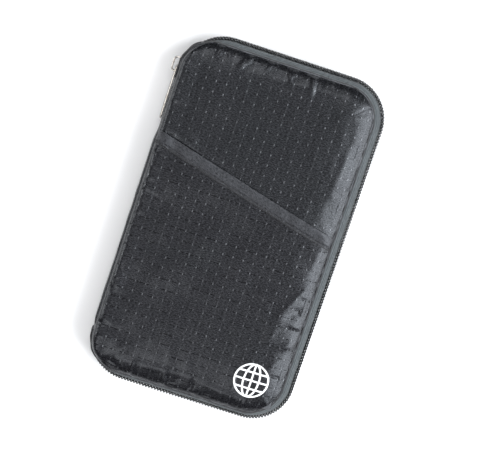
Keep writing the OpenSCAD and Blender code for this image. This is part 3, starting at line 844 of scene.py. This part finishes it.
hemX = np.linspace(seamLeft + 1.2, seamRight - 1.2, 160)
hemLow = mouthLine(hemX) - (pocket["hemWidth"] - 1.1) / math.cos(math.radians(pocket["mouthAngle"]))
lineA, upA = surfaceLine(hemX, hemLow, pocket["gap"] + pocket["thickness"] + 0.3)
# the second row, just under the hem's lower edge, has stitches longer than their spacing so they join into
# an unbroken dark line: sewing thread that also stands in as painted shade of the gap under the hem
shadeRowLine, shadeRowUp = surfaceLine(hemX, hemLow - 1.15, pocket["gap"] + pocket["thickness"] + 0.12)
hemStitchesAndShadeRow = buildMesh("hemStitchesAndShadeRow", [stitchRow(lineA, upA, 2.6, 2.1, 0.26),
                                        stitchRow(shadeRowLine, shadeRowUp, 1.3, 1.45, 0.3)],
                        threadYarn, closed=True)
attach(hemStitchesAndShadeRow, "front_cover")
print("slip pocket done")


# ---- mark: a plain globe of white print ----

badge = {"radius": 10.8, "line": 1.2}


def badgeStrokes():
    cx, cy = (nodeBox("badge")[0][:2] + nodeBox("badge")[1][:2]) / 2
    r = badge["radius"]
    a = np.linspace(0, 2 * np.pi, 72, endpoint=False)
    strokes = [(cx + r * np.cos(a), cy + r * np.sin(a), True),
               (cx + 0.46 * r * np.cos(a), cy + r * np.sin(a), True)]
    t = np.linspace(-1, 1, 30)
    strokes.append((cx + 0 * t, cy + r * t, False))
    for lat in (-0.5, 0.0, 0.5):
        half = r * math.sqrt(1 - lat ** 2)
        strokes.append((cx + half * t, cy + lat * r + 0 * t, False))
    grids = []
    for x, y, ring in strokes:
        path, up = surfaceLine(x, y, pocket["gap"] + pocket["thickness"] + 0.22)
        nextPoint = np.roll(path, -1, 0) - np.roll(path, 1, 0) if ring else np.gradient(path, axis=0)
        across = unit(np.cross(unit(nextPoint), up))
        grids.append(sweep(path, across, up, roundProfile(badge["line"], 0.22, 4, 10), wrapRows=ring))
    return grids


travelMark = buildMesh("travelMark", badgeStrokes(), whiteInk, closed=True)
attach(travelMark, "front_cover")
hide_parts("badge")


# ---- zip: tape, coil, binding ----

zipRun = {"pitch": 2.0, "wire": 0.42, "reach": 0.85, "inset": 1.05, "tapeEdge": 2.1, "coilRise": 1.55,
          "coilSwing": 1.6, "gatherPitch": 2.7, "bendStart": 6.8, "bendEnd": 25}
coilCounts = [20, 44, 100, 44, 210, 44, 100, 44, 8]
ringEnds = (spineHigh + 2.6, spineLow - 2.4)
coilPath, coilOut = outlinePath(zipEndX, zipX, -endY, endY, cornerRadius, coilCounts, ringEnds)
lowerEnd = smoothStep((-coilPath[:, 1] - 60) / 25) * smoothStep((spineX + 50 - coilPath[:, 0]) / 30)
coilPath[:, 0] -= lowerEnd * (zipEndX - spineX - 0.2)      # the lower end swings out level with the spine
seamPath, seamOut = outlinePath(seamLeft, seamRight, seamLow, seamHigh, seam["radius"], coilCounts, ringEnds)


def flat3(xy, z):
    return np.concatenate([xy, np.full((len(xy), 1), float(z))], 1)


def other(z, top):
    # heights are given for the front; the back is the same, turned over about the middle of the zip
    return z if top else 2 * zipMid - z


def tapeStrip(name, top):
    # cloth from the seam out to the coil: bends over a rounded shoulder and is gathered round the corners
    t = np.linspace(0, 1, 15)[None, :, None]
    sHeight = walletTop - seam["height"]
    start = flat3(seamPath + seamOut * -0.6, 0)
    shoulder = flat3(seamPath * 0.42 + coilPath * 0.58 - coilOut * 0.2, 0)
    end = flat3(coilPath - coilOut * zipRun["tapeEdge"], 0)
    xy = (1 - t) ** 2 * start[:, None] + 2 * t * (1 - t) * shoulder[:, None] + t ** 2 * end[:, None]
    t = t[0, :, 0]
    z = (1 - t) ** 2 * (sHeight + 0.1) + 2 * t * (1 - t) * (sHeight - 0.2) + t ** 2 * (zipMid + 1.6)
    s = lengthAlong(coilPath)
    corner = 1 - abs(coilOut[:, 0] ** 2 - coilOut[:, 1] ** 2)
    amount = (0.12 + 0.2 * corner + 0.12 * (abs(coilOut[:, 1]) > 0.9))[:, None]
    waves = np.sin(2 * np.pi * s / zipRun["gatherPitch"] + 1.8 * ripple(s, 0 * s, 17, 5))
    gather = amount * waves[:, None] * np.sin(np.pi * t)[None] ** 0.7
    z = z[None] + gather + 0.12 * ripple(xy[..., 0], xy[..., 1], 11, 6) * np.sin(np.pi * t)[None]
    across = np.linspace(0, 6.5, 15)
    uv = np.stack(np.broadcast_arrays(s[:, None], across[None]), -1)
    pts = np.stack([xy[..., 0], xy[..., 1], other(z, top)], -1)
    return solidify(buildMesh(name, [{"points": pts, "uv": uv}], tapeCloth, flip=top), 0.45)


def coilSpring(name, top):
    # flattened helix along the zip: one turn of nylon for each tooth, its head reaching to the other half
    path, out, s = resample(coilPath, coilOut, zipRun["pitch"] / 14)
    turn = 2 * np.pi * s / zipRun["pitch"] + (0 if top else np.pi)
    radial = -zipRun["inset"] + zipRun["reach"] * np.cos(turn)
    rise = zipRun["coilRise"] + zipRun["coilSwing"] * np.sin(turn)
    centre = flat3(path + out * radial[:, None], 0)
    centre[:, 2] = other(zipMid + rise, top)
    along = unit(np.gradient(centre, axis=0))
    side = unit(np.cross(along, unit(flat3(out, 0.001))))
    up = np.cross(side, along)
    grid = sweep(centre, side, up, roundProfile(zipRun["wire"] * 2, zipRun["wire"] * 2, 2, 6))
    return buildMesh(name, [grid], coilNylon, closed=True)


def seamCord(name, top):
    # thin piping over the seam between cover and tape
    counts = [2, 40, 110, 40, 220, 40, 110, 40, 2]
    path, out = outlinePath(seamLeft, seamRight, seamLow, seamHigh, seam["radius"], counts,
                            (spineHigh + 4, spineLow - 4))
    s = lengthAlong(path)
    wave = 0.12 * ripple(s, 0 * s, 8, 9)[:, None]
    centre = flat3(path + out * (0.35 + wave), 0)
    centre[:, 2] = other(walletTop - seam["height"] + 0.15 + 0.1 * ripple(s, 0 * s, 6, 12), top)
    grid = sweep(centre, flat3(out, 0), np.array([[0, 0, 1.0]]), roundProfile(1.0, 0.75, 2, 8))
    return buildMesh(name, [grid], bindCloth, closed=True)


for side, body, top in (("front", "front_cover", True), ("back", "back_cover", False)):
    tape = tapeStrip(side + "Tape", top)
    coil = coilSpring(side + "Coil", top)
    cord = seamCord(side + "Binding", top)
    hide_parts(side + "_zip_tape", "zip_end_tape")
    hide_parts(side + "_zip_coil", "zip_end_coil")
    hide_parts(side + "_binding")
    for piece in (tape, coil):
        if top:
            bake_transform(piece)
        else:
            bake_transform(piece)
    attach(cord, body)
print("zip done")


# ---- spine ----

spineStrip = {"bow": 0.9, "out": 0.8, "liningBow": 1.0, "liningIn": 1.3, "pullDent": 0.95, "pullFrom": 38}


def spineCloth(name, top, inner):
    # upright strip that bows outward; its long edge turns in over the cover
    rows, cols = 150, 22
    y = np.linspace(spineLow - 0.5, spineHigh + 0.5, rows)
    t = np.linspace(0, 1, cols)
    edgeZ = walletTop - seam["height"] + (0.4 if not inner else -0.55)
    bow = t ** 3
    x = spineX + (spineStrip["liningIn"] + spineStrip["liningBow"] * bow if inner
                  else spineStrip["bow"] * bow - spineStrip["out"])
    z = zipMid + (edgeZ - zipMid) * np.sin(np.pi / 2 * t)
    taper = smoothStep((y - spineLow + 0.5) / 4) * smoothStep((spineHigh + 0.5 - y) / 4)
    yy, tt = np.meshgrid(y, t, indexing="ij")
    besidePull = 0 if inner else spineStrip["pullDent"] * smoothStep((yy - spineStrip["pullFrom"]) / 10)
    xx = np.repeat(x[None], rows, 0) + 0.1 * ripple(yy, tt * 12, 16, 21) * np.sin(np.pi * tt) \
        + 0.5 * (1 - taper[:, None])
    xx = xx + besidePull
    zz = np.repeat(z[None], rows, 0)
    uv = np.stack([yy, tt * 11], -1)[..., ::-1]
    pts = np.stack([xx, yy, other(zz, top)], -1)
    mat = liningCloth if inner else ripstop
    return solidify(buildMesh(name, [{"points": pts, "uv": uv}], mat, flip=top == inner), 0.5)


for inner in (False, True):
    kind = "Lining" if inner else "Cloth"
    upper = spineCloth("spine" + kind + "Upper", True, inner)
    lower = spineCloth("spine" + kind + "Lower", False, inner)
    for piece in (upper, lower):
        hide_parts("spine_lining" if inner else "spine_panel")
    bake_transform(upper)
    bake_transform(lower)
print("spine done")


# ---- slider, bail and pull ----

slider = {"length": 10.4, "half": 4.25, "wall": 0.95, "lip": 1.6, "bailReach": 4.45, "bailWide": 2.3,
          "bailThick": 1.25, "pullThick": 1.15, "pullHalf": 3.4, "pullNeck": 2.9, "pullLean": 4}


def placed(grids, origin, along, across, out):
    # from the part's own along, across and out to the wallet's frame
    axes = np.array([along, across, out], float)
    return [{**g, "points": np.asarray(g["points"]) @ axes + np.asarray(origin, float)} for g in grids]


def channelPlate(length, half, wall, lip, dome=0.3):
    # plate whose long edges turn down, drawn in towards both ends; across is y and outward is z
    a = np.linspace(0, np.pi / 2, 5)
    v = np.linspace(0, half - 0.8, 6)
    right = np.concatenate([
        np.stack([v, wall + dome * (1 - (v / half) ** 2)], 1),
        np.stack([half - 0.8 + 0.8 * np.sin(a), wall - 0.8 + 0.8 * np.cos(a)], 1)[1:],
        [(half, -lip + 0.3), (half - 0.15, -lip), (half - 0.65, -lip), (half - 0.8, -lip + 0.25),
         (half - 0.8, -0.4), (half - 1.2, 0), (half * 0.4, 0), (0, 0)]])
    section = np.concatenate([right, right[-2:0:-1] * [-1, 1]])
    u = length / 2 * np.sin(np.linspace(-np.pi / 2, np.pi / 2, 19))
    plan = np.maximum((1 - abs(2 * u / length) ** 3.4) ** (1 / 3.4), 0.3) * (1 - 0.1 * u / length)
    pts = np.stack(np.broadcast_arrays(u[:, None], section[None, :, 0] * plan[:, None],
                                       section[None, :, 1] * (0.5 + 0.5 * plan[:, None])), -1)
    return {"points": pts, "wrapCols": True, "cap": True}


def bailArch(reach, height, thick, wide, bend=2.0):
    # flattened wire: leg, bend, bar, bend, leg
    a = np.linspace(0, np.pi / 2, 8)
    half = np.concatenate([[(-reach, -0.3), (-reach, (height - bend) / 2)],
                           np.stack([-reach + bend - bend * np.cos(a), height - bend + bend * np.sin(a)], 1),
                           [(-(reach - bend) / 2, height)]])
    line = np.concatenate([half, half[::-1] * [-1, 1]])
    path = np.stack([line[:, 0], 0 * line[:, 0], line[:, 1]], 1)
    tangent = unit(np.gradient(path, axis=0))
    normal = np.cross(tangent, [0.0, 1.0, 0.0])
    return sweep(path, normal, np.array([[0, 1.0, 0]]), roundProfile(thick, wide, 3.2, 16))


def pullPlate(length, half, neck, thick):
    # flat tab with a raised rim and a round end, and a loop for its eye
    start, stop = neck + 2.4, length - half
    a = np.linspace(-np.pi / 2, np.pi / 2, 22)
    axis = np.concatenate([np.full(22, stop), np.linspace(stop, start, 12)[1:-1], np.full(22, start),
                           np.linspace(start, stop, 12)[1:-1]])
    width = half + (neck - half) * (stop - axis) / (stop - start)
    away = np.concatenate([np.stack([np.cos(a), np.sin(a)], 1), np.tile([0, 1.0], (10, 1)),
                           np.stack([-np.cos(a), -np.sin(a)], 1), np.tile([0, -1.0], (10, 1))])
    steps = np.array([(0.02, 0.30), (0.60, 0.30), (0.68, 0.33), (0.75, 0.48), (0.84, 0.5), (0.93, 0.46),
                      (0.98, 0.34), (1.0, 0.15)])
    steps = np.concatenate([steps, steps[::-1] * [1, -1]])
    spread = steps[:, 0][:, None] * width[None]
    pts = np.stack([axis[None] + spread * away[None, :, 0], spread * away[None, :, 1],
                    np.repeat(steps[:, 1][:, None] * thick, len(axis), 1)], -1)
    ring, normal = outlinePath(1.1, start + 0.6, -neck + 0.6, neck - 0.6, 1.3, [2, 8, 8, 8, 4, 8, 8, 8, 2])
    eye = sweep(flat3(ring, 0), flat3(normal, 0), np.array([[0, 0, 1.0]]),
                roundProfile(1.25, thick, 3, 12), wrapRows=True)
    return [{"points": pts, "wrapCols": True, "cap": True}, eye]


def metalPiece(name, grids, body, node, material=nickel):
    obj = buildMesh(name, grids, material, closed=True)
    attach(obj, body)
    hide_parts(node)
    return obj


sliderY = float(nodeBox("slider_body")[0][1] + nodeBox("slider_body")[1][1]) / 2
bailX = nodeBox("slider_bail")[0][0] - 1.0
plateFace = zipEndX - 0.5
up3, along3, outLeft = (0, 0, 1), (0, 1, 0), (-1, 0, 0)
postPath = np.linspace([plateFace - 0.4, sliderY - 1.7, zipMid], [zipEndX + 3.7, sliderY - 1.7, zipMid], 4)
outerPlate = channelPlate(slider["length"], slider["half"], slider["wall"], slider["lip"])
innerPlate = channelPlate(slider["length"] - 2.6, 3.7, 0.9, 0.5, 0.1)
post = sweep(postPath, np.array([[0, 1.0, 0]]), np.array([[0, 0, 1.0]]), roundProfile(3.2, 0.8, 2.5, 14))
metalPiece("sliderBody", placed([outerPlate], (plateFace, sliderY, zipMid), along3, up3, outLeft)
           + placed([innerPlate], (zipEndX + 3.3, sliderY, zipMid), along3, up3, (1, 0, 0)) + [post],
           "slider", "slider_body")
bailHeight = plateFace - 0.9 - bailX - slider["bailThick"] / 2
bail = bailArch(slider["bailReach"], bailHeight, slider["bailThick"], slider["bailWide"])
metalPiece("sliderBail", placed([bail], (plateFace - 0.9, sliderY, zipMid), along3, up3, outLeft),
           "slider", "slider_bail")
pullLow, pullHigh = nodeBox("pull_tab")
pullX = (pullLow[0] + pullHigh[0]) / 2 - 0.15              # hangs a little askew on the bail
lean = math.radians(slider["pullLean"])
pullGrids = pullPlate(sliderY - pullLow[1], slider["pullHalf"], slider["pullNeck"], slider["pullThick"])
metalPiece("pullTab", placed(pullGrids, (pullX, sliderY, zipMid), (0, -1, 0),
                             (math.sin(lean), 0, math.cos(lean)), (-math.cos(lean), 0, math.sin(lean))),
           "pull", "pull_tab")
stopLow, stopHigh = nodeBox("zip_stops")
stops = []
for y in (stopLow[1] + 1, stopHigh[1] - 1):
    x = zipEndX if y > 0 else spineX + 0.3
    path = np.stack([np.full(7, x + 1.05), y + np.linspace(-1, 1, 7), np.full(7, zipMid)], 1)
    stops.append(sweep(path, np.array([[1.0, 0, 0]]), np.array([[0, 0, 1.0]]), roundProfile(2.5, 6.2, 4, 20),
                       taper=np.array([0.8, 0.95, 1, 1, 1, 0.95, 0.8])))
metalPiece("zipStops", stops, "spine", "zip_stops", gunmetal)
print("slider and pull done")


# ---- linings and inner pockets ----

inside = {"lining": 3.6, "seamDepth": 6.0, "pocketDepth": 3.85, "hem": 6.0, "hemThick": 0.85, "stitch": 2.6}
innerStitches = {"front_cover": [], "back_cover": []}


def faceZ(depth, top):
    # depth counts from the outer face of a cover inwards
    return panelTop - depth if top else depth


def liningSheet(name, top):
    x, y = coverGrid(130, 76)
    d = seamDistance(x, y)
    depth = inside["lining"] + (inside["seamDepth"] - inside["lining"]) * (1 - smoothStep(d / 4.5))
    depth = depth + 0.1 * smoothStep(d / 5) * ripple(x, y, 24, 61)
    pts = np.stack([x, y, faceZ(depth, top)], -1)
    obj = buildMesh(name, [{"points": pts, "uv": np.stack([x, y], -1)}], liningCloth, flip=top)
    return solidify(obj, 0.35)


for side, top in (("front", True), ("back", False)):
    lining = liningSheet(side + "Lining", top)
    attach(lining, side + "_cover")
    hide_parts(side + "_lining")


def pocketPanel(name, body, node, box, mouth, depth, puff, material, seed, hemSide=1, rowsCols=(60, 70)):
    # cloth sewn down on three sides; box is left, right, sewn end; mouth gives the open end for each x;
    # hemSide says which way the mouth looks; the hem is a flat folded tube along the mouth
    top = body == "front_cover"
    left, right, sewn = box
    x = np.linspace(left, right, rowsCols[1])[None] + np.zeros((rowsCols[0], 1))
    t = np.linspace(0, 1, rowsCols[0])[:, None]
    open_ = mouth(x[0])[None]
    y = sewn + (open_ - sewn) * t
    fromSide = np.minimum(x - left, right - x)
    rise = smoothStep(np.minimum(fromSide, abs(y - sewn)) / 7 + 0.03)
    slack = puff * rise * (0.75 + 0.25 * ripple(x, y, 45, seed)) + 0.06 * ripple(x, y, 14, seed + 1) * rise
    pts = np.stack([x, y, faceZ(depth + slack, top)], -1)
    uv = np.stack([x, y], -1)
    obj = solidify(buildMesh(name, [{"points": pts, "uv": uv}], material, flip=top), 0.4)
    hemX, hemTop = x[0], mouth(x[0])
    around = np.linspace(0, 2 * np.pi, 18, endpoint=False)
    across = np.sign(np.cos(around)) * abs(np.cos(around)) ** 0.6
    puffed = np.sign(np.sin(around)) * abs(np.sin(around)) ** 0.8
    hy = hemTop[:, None] - hemSide * (inside["hem"] / 2 - across[None] * inside["hem"] / 2)
    hd = depth + slack[-1][:, None] + 0.12 + inside["hemThick"] * (0.3 + 0.42 * puffed[None])
    hx = np.repeat(hemX[:, None], 18, 1)
    hemUv = np.stack([hx, hy], -1)
    hemGrid = {"points": np.stack([hx, hy, faceZ(hd, top)], -1), "uv": hemUv, "wrapCols": True, "cap": True}
    hem = buildMesh(name + "Hem", [hemGrid], bindCloth, closed=True)
    for piece, slot in ((obj, "pocket_nylon"), (hem, "binding")):
        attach(piece, body)
    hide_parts(node)
    away = np.array([[0, 0, -1.0 if top else 1.0]])
    for gap in (1.0, inside["hem"] - 1.0):
        line = np.stack([hemX[1:-1], hemTop[1:-1] - hemSide * gap,
                         faceZ(depth + slack[-1][1:-1] + 0.12 + inside["hemThick"] * 0.68, top)], 1)
        innerStitches[body].append(stitchRow(line, away, inside["stitch"], 1.9, 0.16))
    sideY = np.linspace(sewn + hemSide * 1.2, hemTop[0] - hemSide * 1.0, 90)
    for edge in (left + 1.1, right - 1.1):
        line = np.stack([0 * sideY + edge, sideY, faceZ(depth + 0.2 + 0 * sideY, top)], 1)
        innerStitches[body].append(stitchRow(line, away, inside["stitch"], 1.9, 0.16))
    line = np.stack([hemX, 0 * hemX + sewn + hemSide * 1.2, faceZ(depth + 0.2 + 0 * hemX, top)], 1)
    innerStitches[body].append(stitchRow(line, away, inside["stitch"], 1.9, 0.16))
    return obj


def thumbMouth(x):
    # level mouth with a rounded notch
    reach = np.clip(1 - ((x - midX) / 10.5) ** 2, 0, 1)
    return passportTop - 8.5 * reach ** 0.62


passportTop = nodeBox("passport_pocket")[1][1]
low, high = nodeBox("passport_pocket")
pocketPanel("passportPocket", "front_cover", "passport_pocket", (low[0], high[0], low[1]), thumbMouth,
            inside["pocketDepth"], 0.12, pocketCloth, 81, rowsCols=(70, 150))
for k in (1, 2, 3):
    low, high = nodeBox("card_slot_%d" % k)
    pocketPanel("cardSlot%d" % k, "front_cover", "card_slot_%d" % k, (low[0], high[0], low[1]),
                lambda x, edge=high[1]: edge + 0 * x, panelTop - high[2] - 0.05, 0.1, pocketCloth, 84 + k)
low, high = nodeBox("sim_pocket")
pocketPanel("simPocket", "front_cover", "sim_pocket", (low[0], high[0], low[1]),
            lambda x: high[1] + 0 * x, inside["pocketDepth"], 0.5, pocketCloth, 90, rowsCols=(40, 50))
low, high = nodeBox("document_sleeve")
pocketPanel("documentSleeve", "back_cover", "document_sleeve", (low[0], high[0], low[1]),
            lambda x: high[1] + 0 * x, inside["pocketDepth"], 0.2, pocketCloth, 92)


def coinPanel(name, node, open_, seed):
    # padded half of the coin pocket: rounded down to the sleeve on three sides, its fourth edge at the zip
    low, high = nodeBox(node)
    x, y = np.meshgrid(np.linspace(low[0], high[0], 80),
                       np.linspace(low[1], high[1], 90 if open_ > 0 else 50))
    free = np.minimum(x - low[0], high[0] - x)
    sewn = y - low[1] if open_ > 0 else high[1] - y
    e = np.clip(np.minimum(free, sewn) / 5.5, 0, 1)
    z = low[2] - 0.25 + (high[2] - low[2] + 0.1) * np.sqrt(1 - (1 - e) ** 2) \
        + 0.1 * ripple(x, y, 16, seed) * e
    atZip = high[1] - y if open_ > 0 else y - low[1]
    z = z - 0.35 * (1 - smoothStep(atZip / 3))
    grid = {"points": np.stack([x, y, z], -1), "uv": np.stack([x, y], -1)}
    obj = solidify(buildMesh(name, [grid], pocketCloth), 0.4)
    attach(obj, "back_cover")
    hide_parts(node)
    edgeY = high[1] - 1.0 if open_ > 0 else low[1] + 1.0
    line = np.stack([np.linspace(low[0] + 1, high[0] - 1, 80), np.full(80, edgeY),
                     np.full(80, high[2] - 0.32)], 1)
    innerStitches["back_cover"].append(stitchRow(line, np.array([[0, 0, 1.0]]), inside["stitch"], 1.9, 0.16))


coinPanel("coinPocketLower", "coin_pocket_lower", 1, 94)
coinPanel("coinPocketUpper", "coin_pocket_upper", -1, 96)

coinRun = {"pitch": 1.6, "inset": 1.15, "reach": 1.05, "rise": 0.62, "swing": 0.42}
coinLow, coinHigh = nodeBox("coin_zip_coil")
coinY, coinZ = (coinLow[1] + coinHigh[1]) / 2, coinLow[2]
coinTapes, coinCoils = [], []
for sideSign in (-1, 1):
    x, v = np.meshgrid(np.linspace(coinLow[0], coinHigh[0], 90), np.linspace(0.35, 5.6, 9))
    tapeY = coinY + sideSign * v
    tapeZ = coinZ - 0.25 + 0.15 * (v > 1.5) + 0.05 * ripple(x, v, 9, 97)
    grid = {"points": np.stack([x, tapeY, tapeZ], -1), "uv": np.stack([x, v], -1)}
    if sideSign > 0:
        grid = {key: value[:, ::-1] for key, value in grid.items()}
    coinTapes.append({key: value[::-1] for key, value in grid.items()})
    s = np.arange(coinLow[0], coinHigh[0], coinRun["pitch"] / 12)
    turn = 2 * np.pi * s / coinRun["pitch"] + (0 if sideSign > 0 else np.pi)
    centre = np.stack([s, coinY + sideSign * (coinRun["inset"] + coinRun["reach"] * np.sin(turn)),
                       coinZ + coinRun["rise"] + coinRun["swing"] * np.cos(turn)], 1)
    along = unit(np.gradient(centre, axis=0))
    sideways = unit(np.cross(along, [0, 0, 1.0]))
    coinCoils.append(sweep(centre, sideways, np.cross(sideways, along), roundProfile(0.5, 0.5, 2, 6)))
coinTape = solidify(buildMesh("coinZipTape", coinTapes, tapeCloth), 0.3)
coinCoil = buildMesh("coinZipCoil", coinCoils, coilNylon, closed=True)
for piece, node, slot in ((coinTape, "coin_zip_tape", "zip_tape"), (coinCoil, "coin_zip_coil", "zip_coil")):
    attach(piece, "back_cover")
    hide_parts(node)

low, high = nodeBox("coin_slider_body")
coinX = (low[0] + high[0]) / 2
coinPlateZ = high[2] - 3.1
postPath = np.linspace([coinX - 2.4, coinY, low[2] + 0.2], [coinX - 2.4, coinY, coinPlateZ + 0.4], 4)
coinTop = [channelPlate(9.0, 3.55, 0.8, 1.1, 0.2), bailArch(2.8, 2.6, 0.9, 1.3, 1.3)]
coinUnder = [channelPlate(8.0, 3.0, 0.8, 0.1, 0.05)]
coinPost = sweep(postPath, np.array([[1.0, 0, 0]]), np.array([[0, 1.0, 0]]), roundProfile(3, 0.7, 2.5, 12))
metalPiece("coinSlider", placed(coinTop, (coinX, coinY, coinPlateZ), (1, 0, 0), along3, up3)
           + placed(coinUnder, (coinX, coinY, low[2] + 0.6), (1, 0, 0), along3, (0, 0, -1)) + [coinPost],
           "coin_slider", "coin_slider_body")
low, high = nodeBox("coin_pull_tab")
metalPiece("coinPull", placed(pullPlate(high[0] - coinX, 2.2, 2.0, 0.85),
                              (coinX, coinY, (low[2] + high[2]) / 2), (1, 0, 0), along3, up3),
           "coin_pull", "coin_pull_tab", gunmetal)


penBand = {"radius": 4.75, "drop": 5.2, "footNear": 1.6, "footFar": 4.4, "wave": 0.12, "thickness": 0.75}


def penLoopBand():
    # elastic band: flat foot, round the pen and back to the foot
    low, high = nodeBox("pen_loop")
    cx, cz, r = (low[0] + high[0]) / 2, high[2] - penBand["drop"], penBand["radius"]
    a = np.radians(np.linspace(-78, 258, 60))
    ring = np.stack([cx + r * np.cos(a), cz + r * np.sin(a)], 1)
    foot = np.linspace([cx + penBand["footFar"], 3.95], [cx + penBand["footNear"], 4.0], 6)
    line = np.concatenate([foot, ring, foot[::-1] * [-1, 1] + [2 * cx, 0]])
    y = np.linspace(low[1], high[1], 40)
    s = lengthAlong(line)
    pts = np.stack(np.broadcast_arrays(line[None, :, 0], y[:, None], line[None, :, 1]), -1)
    waves = penBand["wave"] * np.sin(s[None] * 2.4) * (1 - smoothStep((11 - abs(y[:, None])) / 2) * 0.6)
    pts[..., 0] += waves * (line[None, :, 0] - cx) / r
    pts[..., 2] += waves * (line[None, :, 1] - cz) / r * (line[None, :, 1] > 4.6)
    uv = np.stack(np.broadcast_arrays(s[None], y[:, None]), -1)
    band = buildMesh("penLoop", [{"points": pts, "uv": uv}], elasticCloth)
    return solidify(band, penBand["thickness"], 0.0)


penLoop = penLoopBand()
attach(penLoop, "back_cover")
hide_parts("pen_loop")
for body, grids in innerStitches.items():
    stitches = buildMesh(body.split("_")[0] + "InnerStitches", grids, threadYarn, closed=True)
    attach(stitches, body)
print("inside done")


# ---- floor, light, camera ----

floorMesh = bpy.data.meshes.new("floor")
floorMesh.from_pydata([(-4, -4, 0), (4, -4, 0), (4, 4, 0), (-4, 4, 0)], [], [(0, 1, 2, 3)])
floor = bpy.data.objects.new("floor", floorMesh)
bpy.context.collection.objects.link(floor)
floorMesh.materials.append(smoothStuff("pale floor", (0.93, 0.93, 0.935), 0, 0.8, 40, 0.02,
                                       (0.91, 0.91, 0.915)))

world = bpy.data.worlds.new("studio")
bpy.context.scene.world = world
world.use_nodes = True
sky = world.node_tree.nodes
glow = sky["Background"]
glow.inputs["Strength"].default_value = 0.85
skyCoords = sky.new("ShaderNodeTexCoord")
skyCoords.label = "direction"
skyAxes = sky.new("ShaderNodeSeparateXYZ")
skyAxes.label = "height of the direction"
skyRamp = sky.new("ShaderNodeValToRGB")
skyRamp.label = "dim near the horizon"
skyRamp.color_ramp.elements[0].position = 0.55
skyRamp.color_ramp.elements[0].color = (0.04, 0.04, 0.045, 1)
skyRamp.color_ramp.elements[1].position = 0.94
skyRamp.color_ramp.elements[1].color = (0.97, 0.98, 1.0, 1)
world.node_tree.links.new(skyCoords.outputs["Generated"], skyAxes.inputs[0])
world.node_tree.links.new(skyAxes.outputs["Z"], skyRamp.inputs[0])
world.node_tree.links.new(skyRamp.outputs[0], glow.inputs["Color"])


def softSun(name, lean, bearing, strength, spread, colour=(1, 1, 1)):
    # a far round softbox: lean from straight above, bearing from +X, both in degrees
    data = bpy.data.lights.new(name, "SUN")
    data.energy = strength
    data.angle = math.radians(spread)
    data.color = colour
    light = bpy.data.objects.new(name, data)
    bpy.context.collection.objects.link(light)
    a, b = math.radians(lean), math.radians(bearing)
    light.rotation_euler = Vector((math.sin(a) * math.cos(b), math.sin(a) * math.sin(b), math.cos(a))) \
        .to_track_quat("Z", "Y").to_euler()
    return light


softSun("boxTop", 30, 95, 0.5, 24)
softSun("boxBottom", 32, -97, 0.5, 24)
softSun("boxZipSide", 60, 4, 5.7, 60, (0.94, 0.97, 1))
softSun("boxZipHigh", 38, 2, 0.5, 40, (0.95, 0.98, 1))
softSun("boxSpine", 66, 178, 1.8, 40)
bpy.context.scene.view_settings.view_transform = "Standard"

# across is the width that the view takes in at its distance
view = {"distance": 1250.0, "tiltUp": 9.0, "tiltLeft": 4.0, "roll": 18.35, "across": 303.22,
        "aim": (2.2, 2.7), "sensor": 36}


def placeCamera():
    # looks down on the wallet, leaning a little towards its top and spine, and turned about the view
    back = unit(np.array([-math.sin(math.radians(view["tiltLeft"])),
                          math.sin(math.radians(view["tiltUp"])), 0.98]))
    turn = math.radians(view["roll"])
    up = np.array([-math.sin(turn), math.cos(turn), 0])
    up = unit(up - back * (up @ back))
    right = np.cross(up, back)
    target = np.array([midX, 0, zipMid]) + right * view["aim"][0] + up * view["aim"][1]
    place = (target + back * view["distance"]) * mm
    data = bpy.data.cameras.new("camera")
    data.sensor_width = view["sensor"]
    data.lens = view["sensor"] * view["distance"] / view["across"]
    data.clip_start, data.clip_end = 0.05, 20
    camera = bpy.data.objects.new("camera", data)
    bpy.context.collection.objects.link(camera)
    turned = np.stack([right, up, back], 1).tolist()
    camera.matrix_world = Matrix([[*row, p] for row, p in zip(turned, place.tolist())] + [[0, 0, 0, 1]])
    bpy.context.scene.camera = camera


placeCamera()
print("stage done")
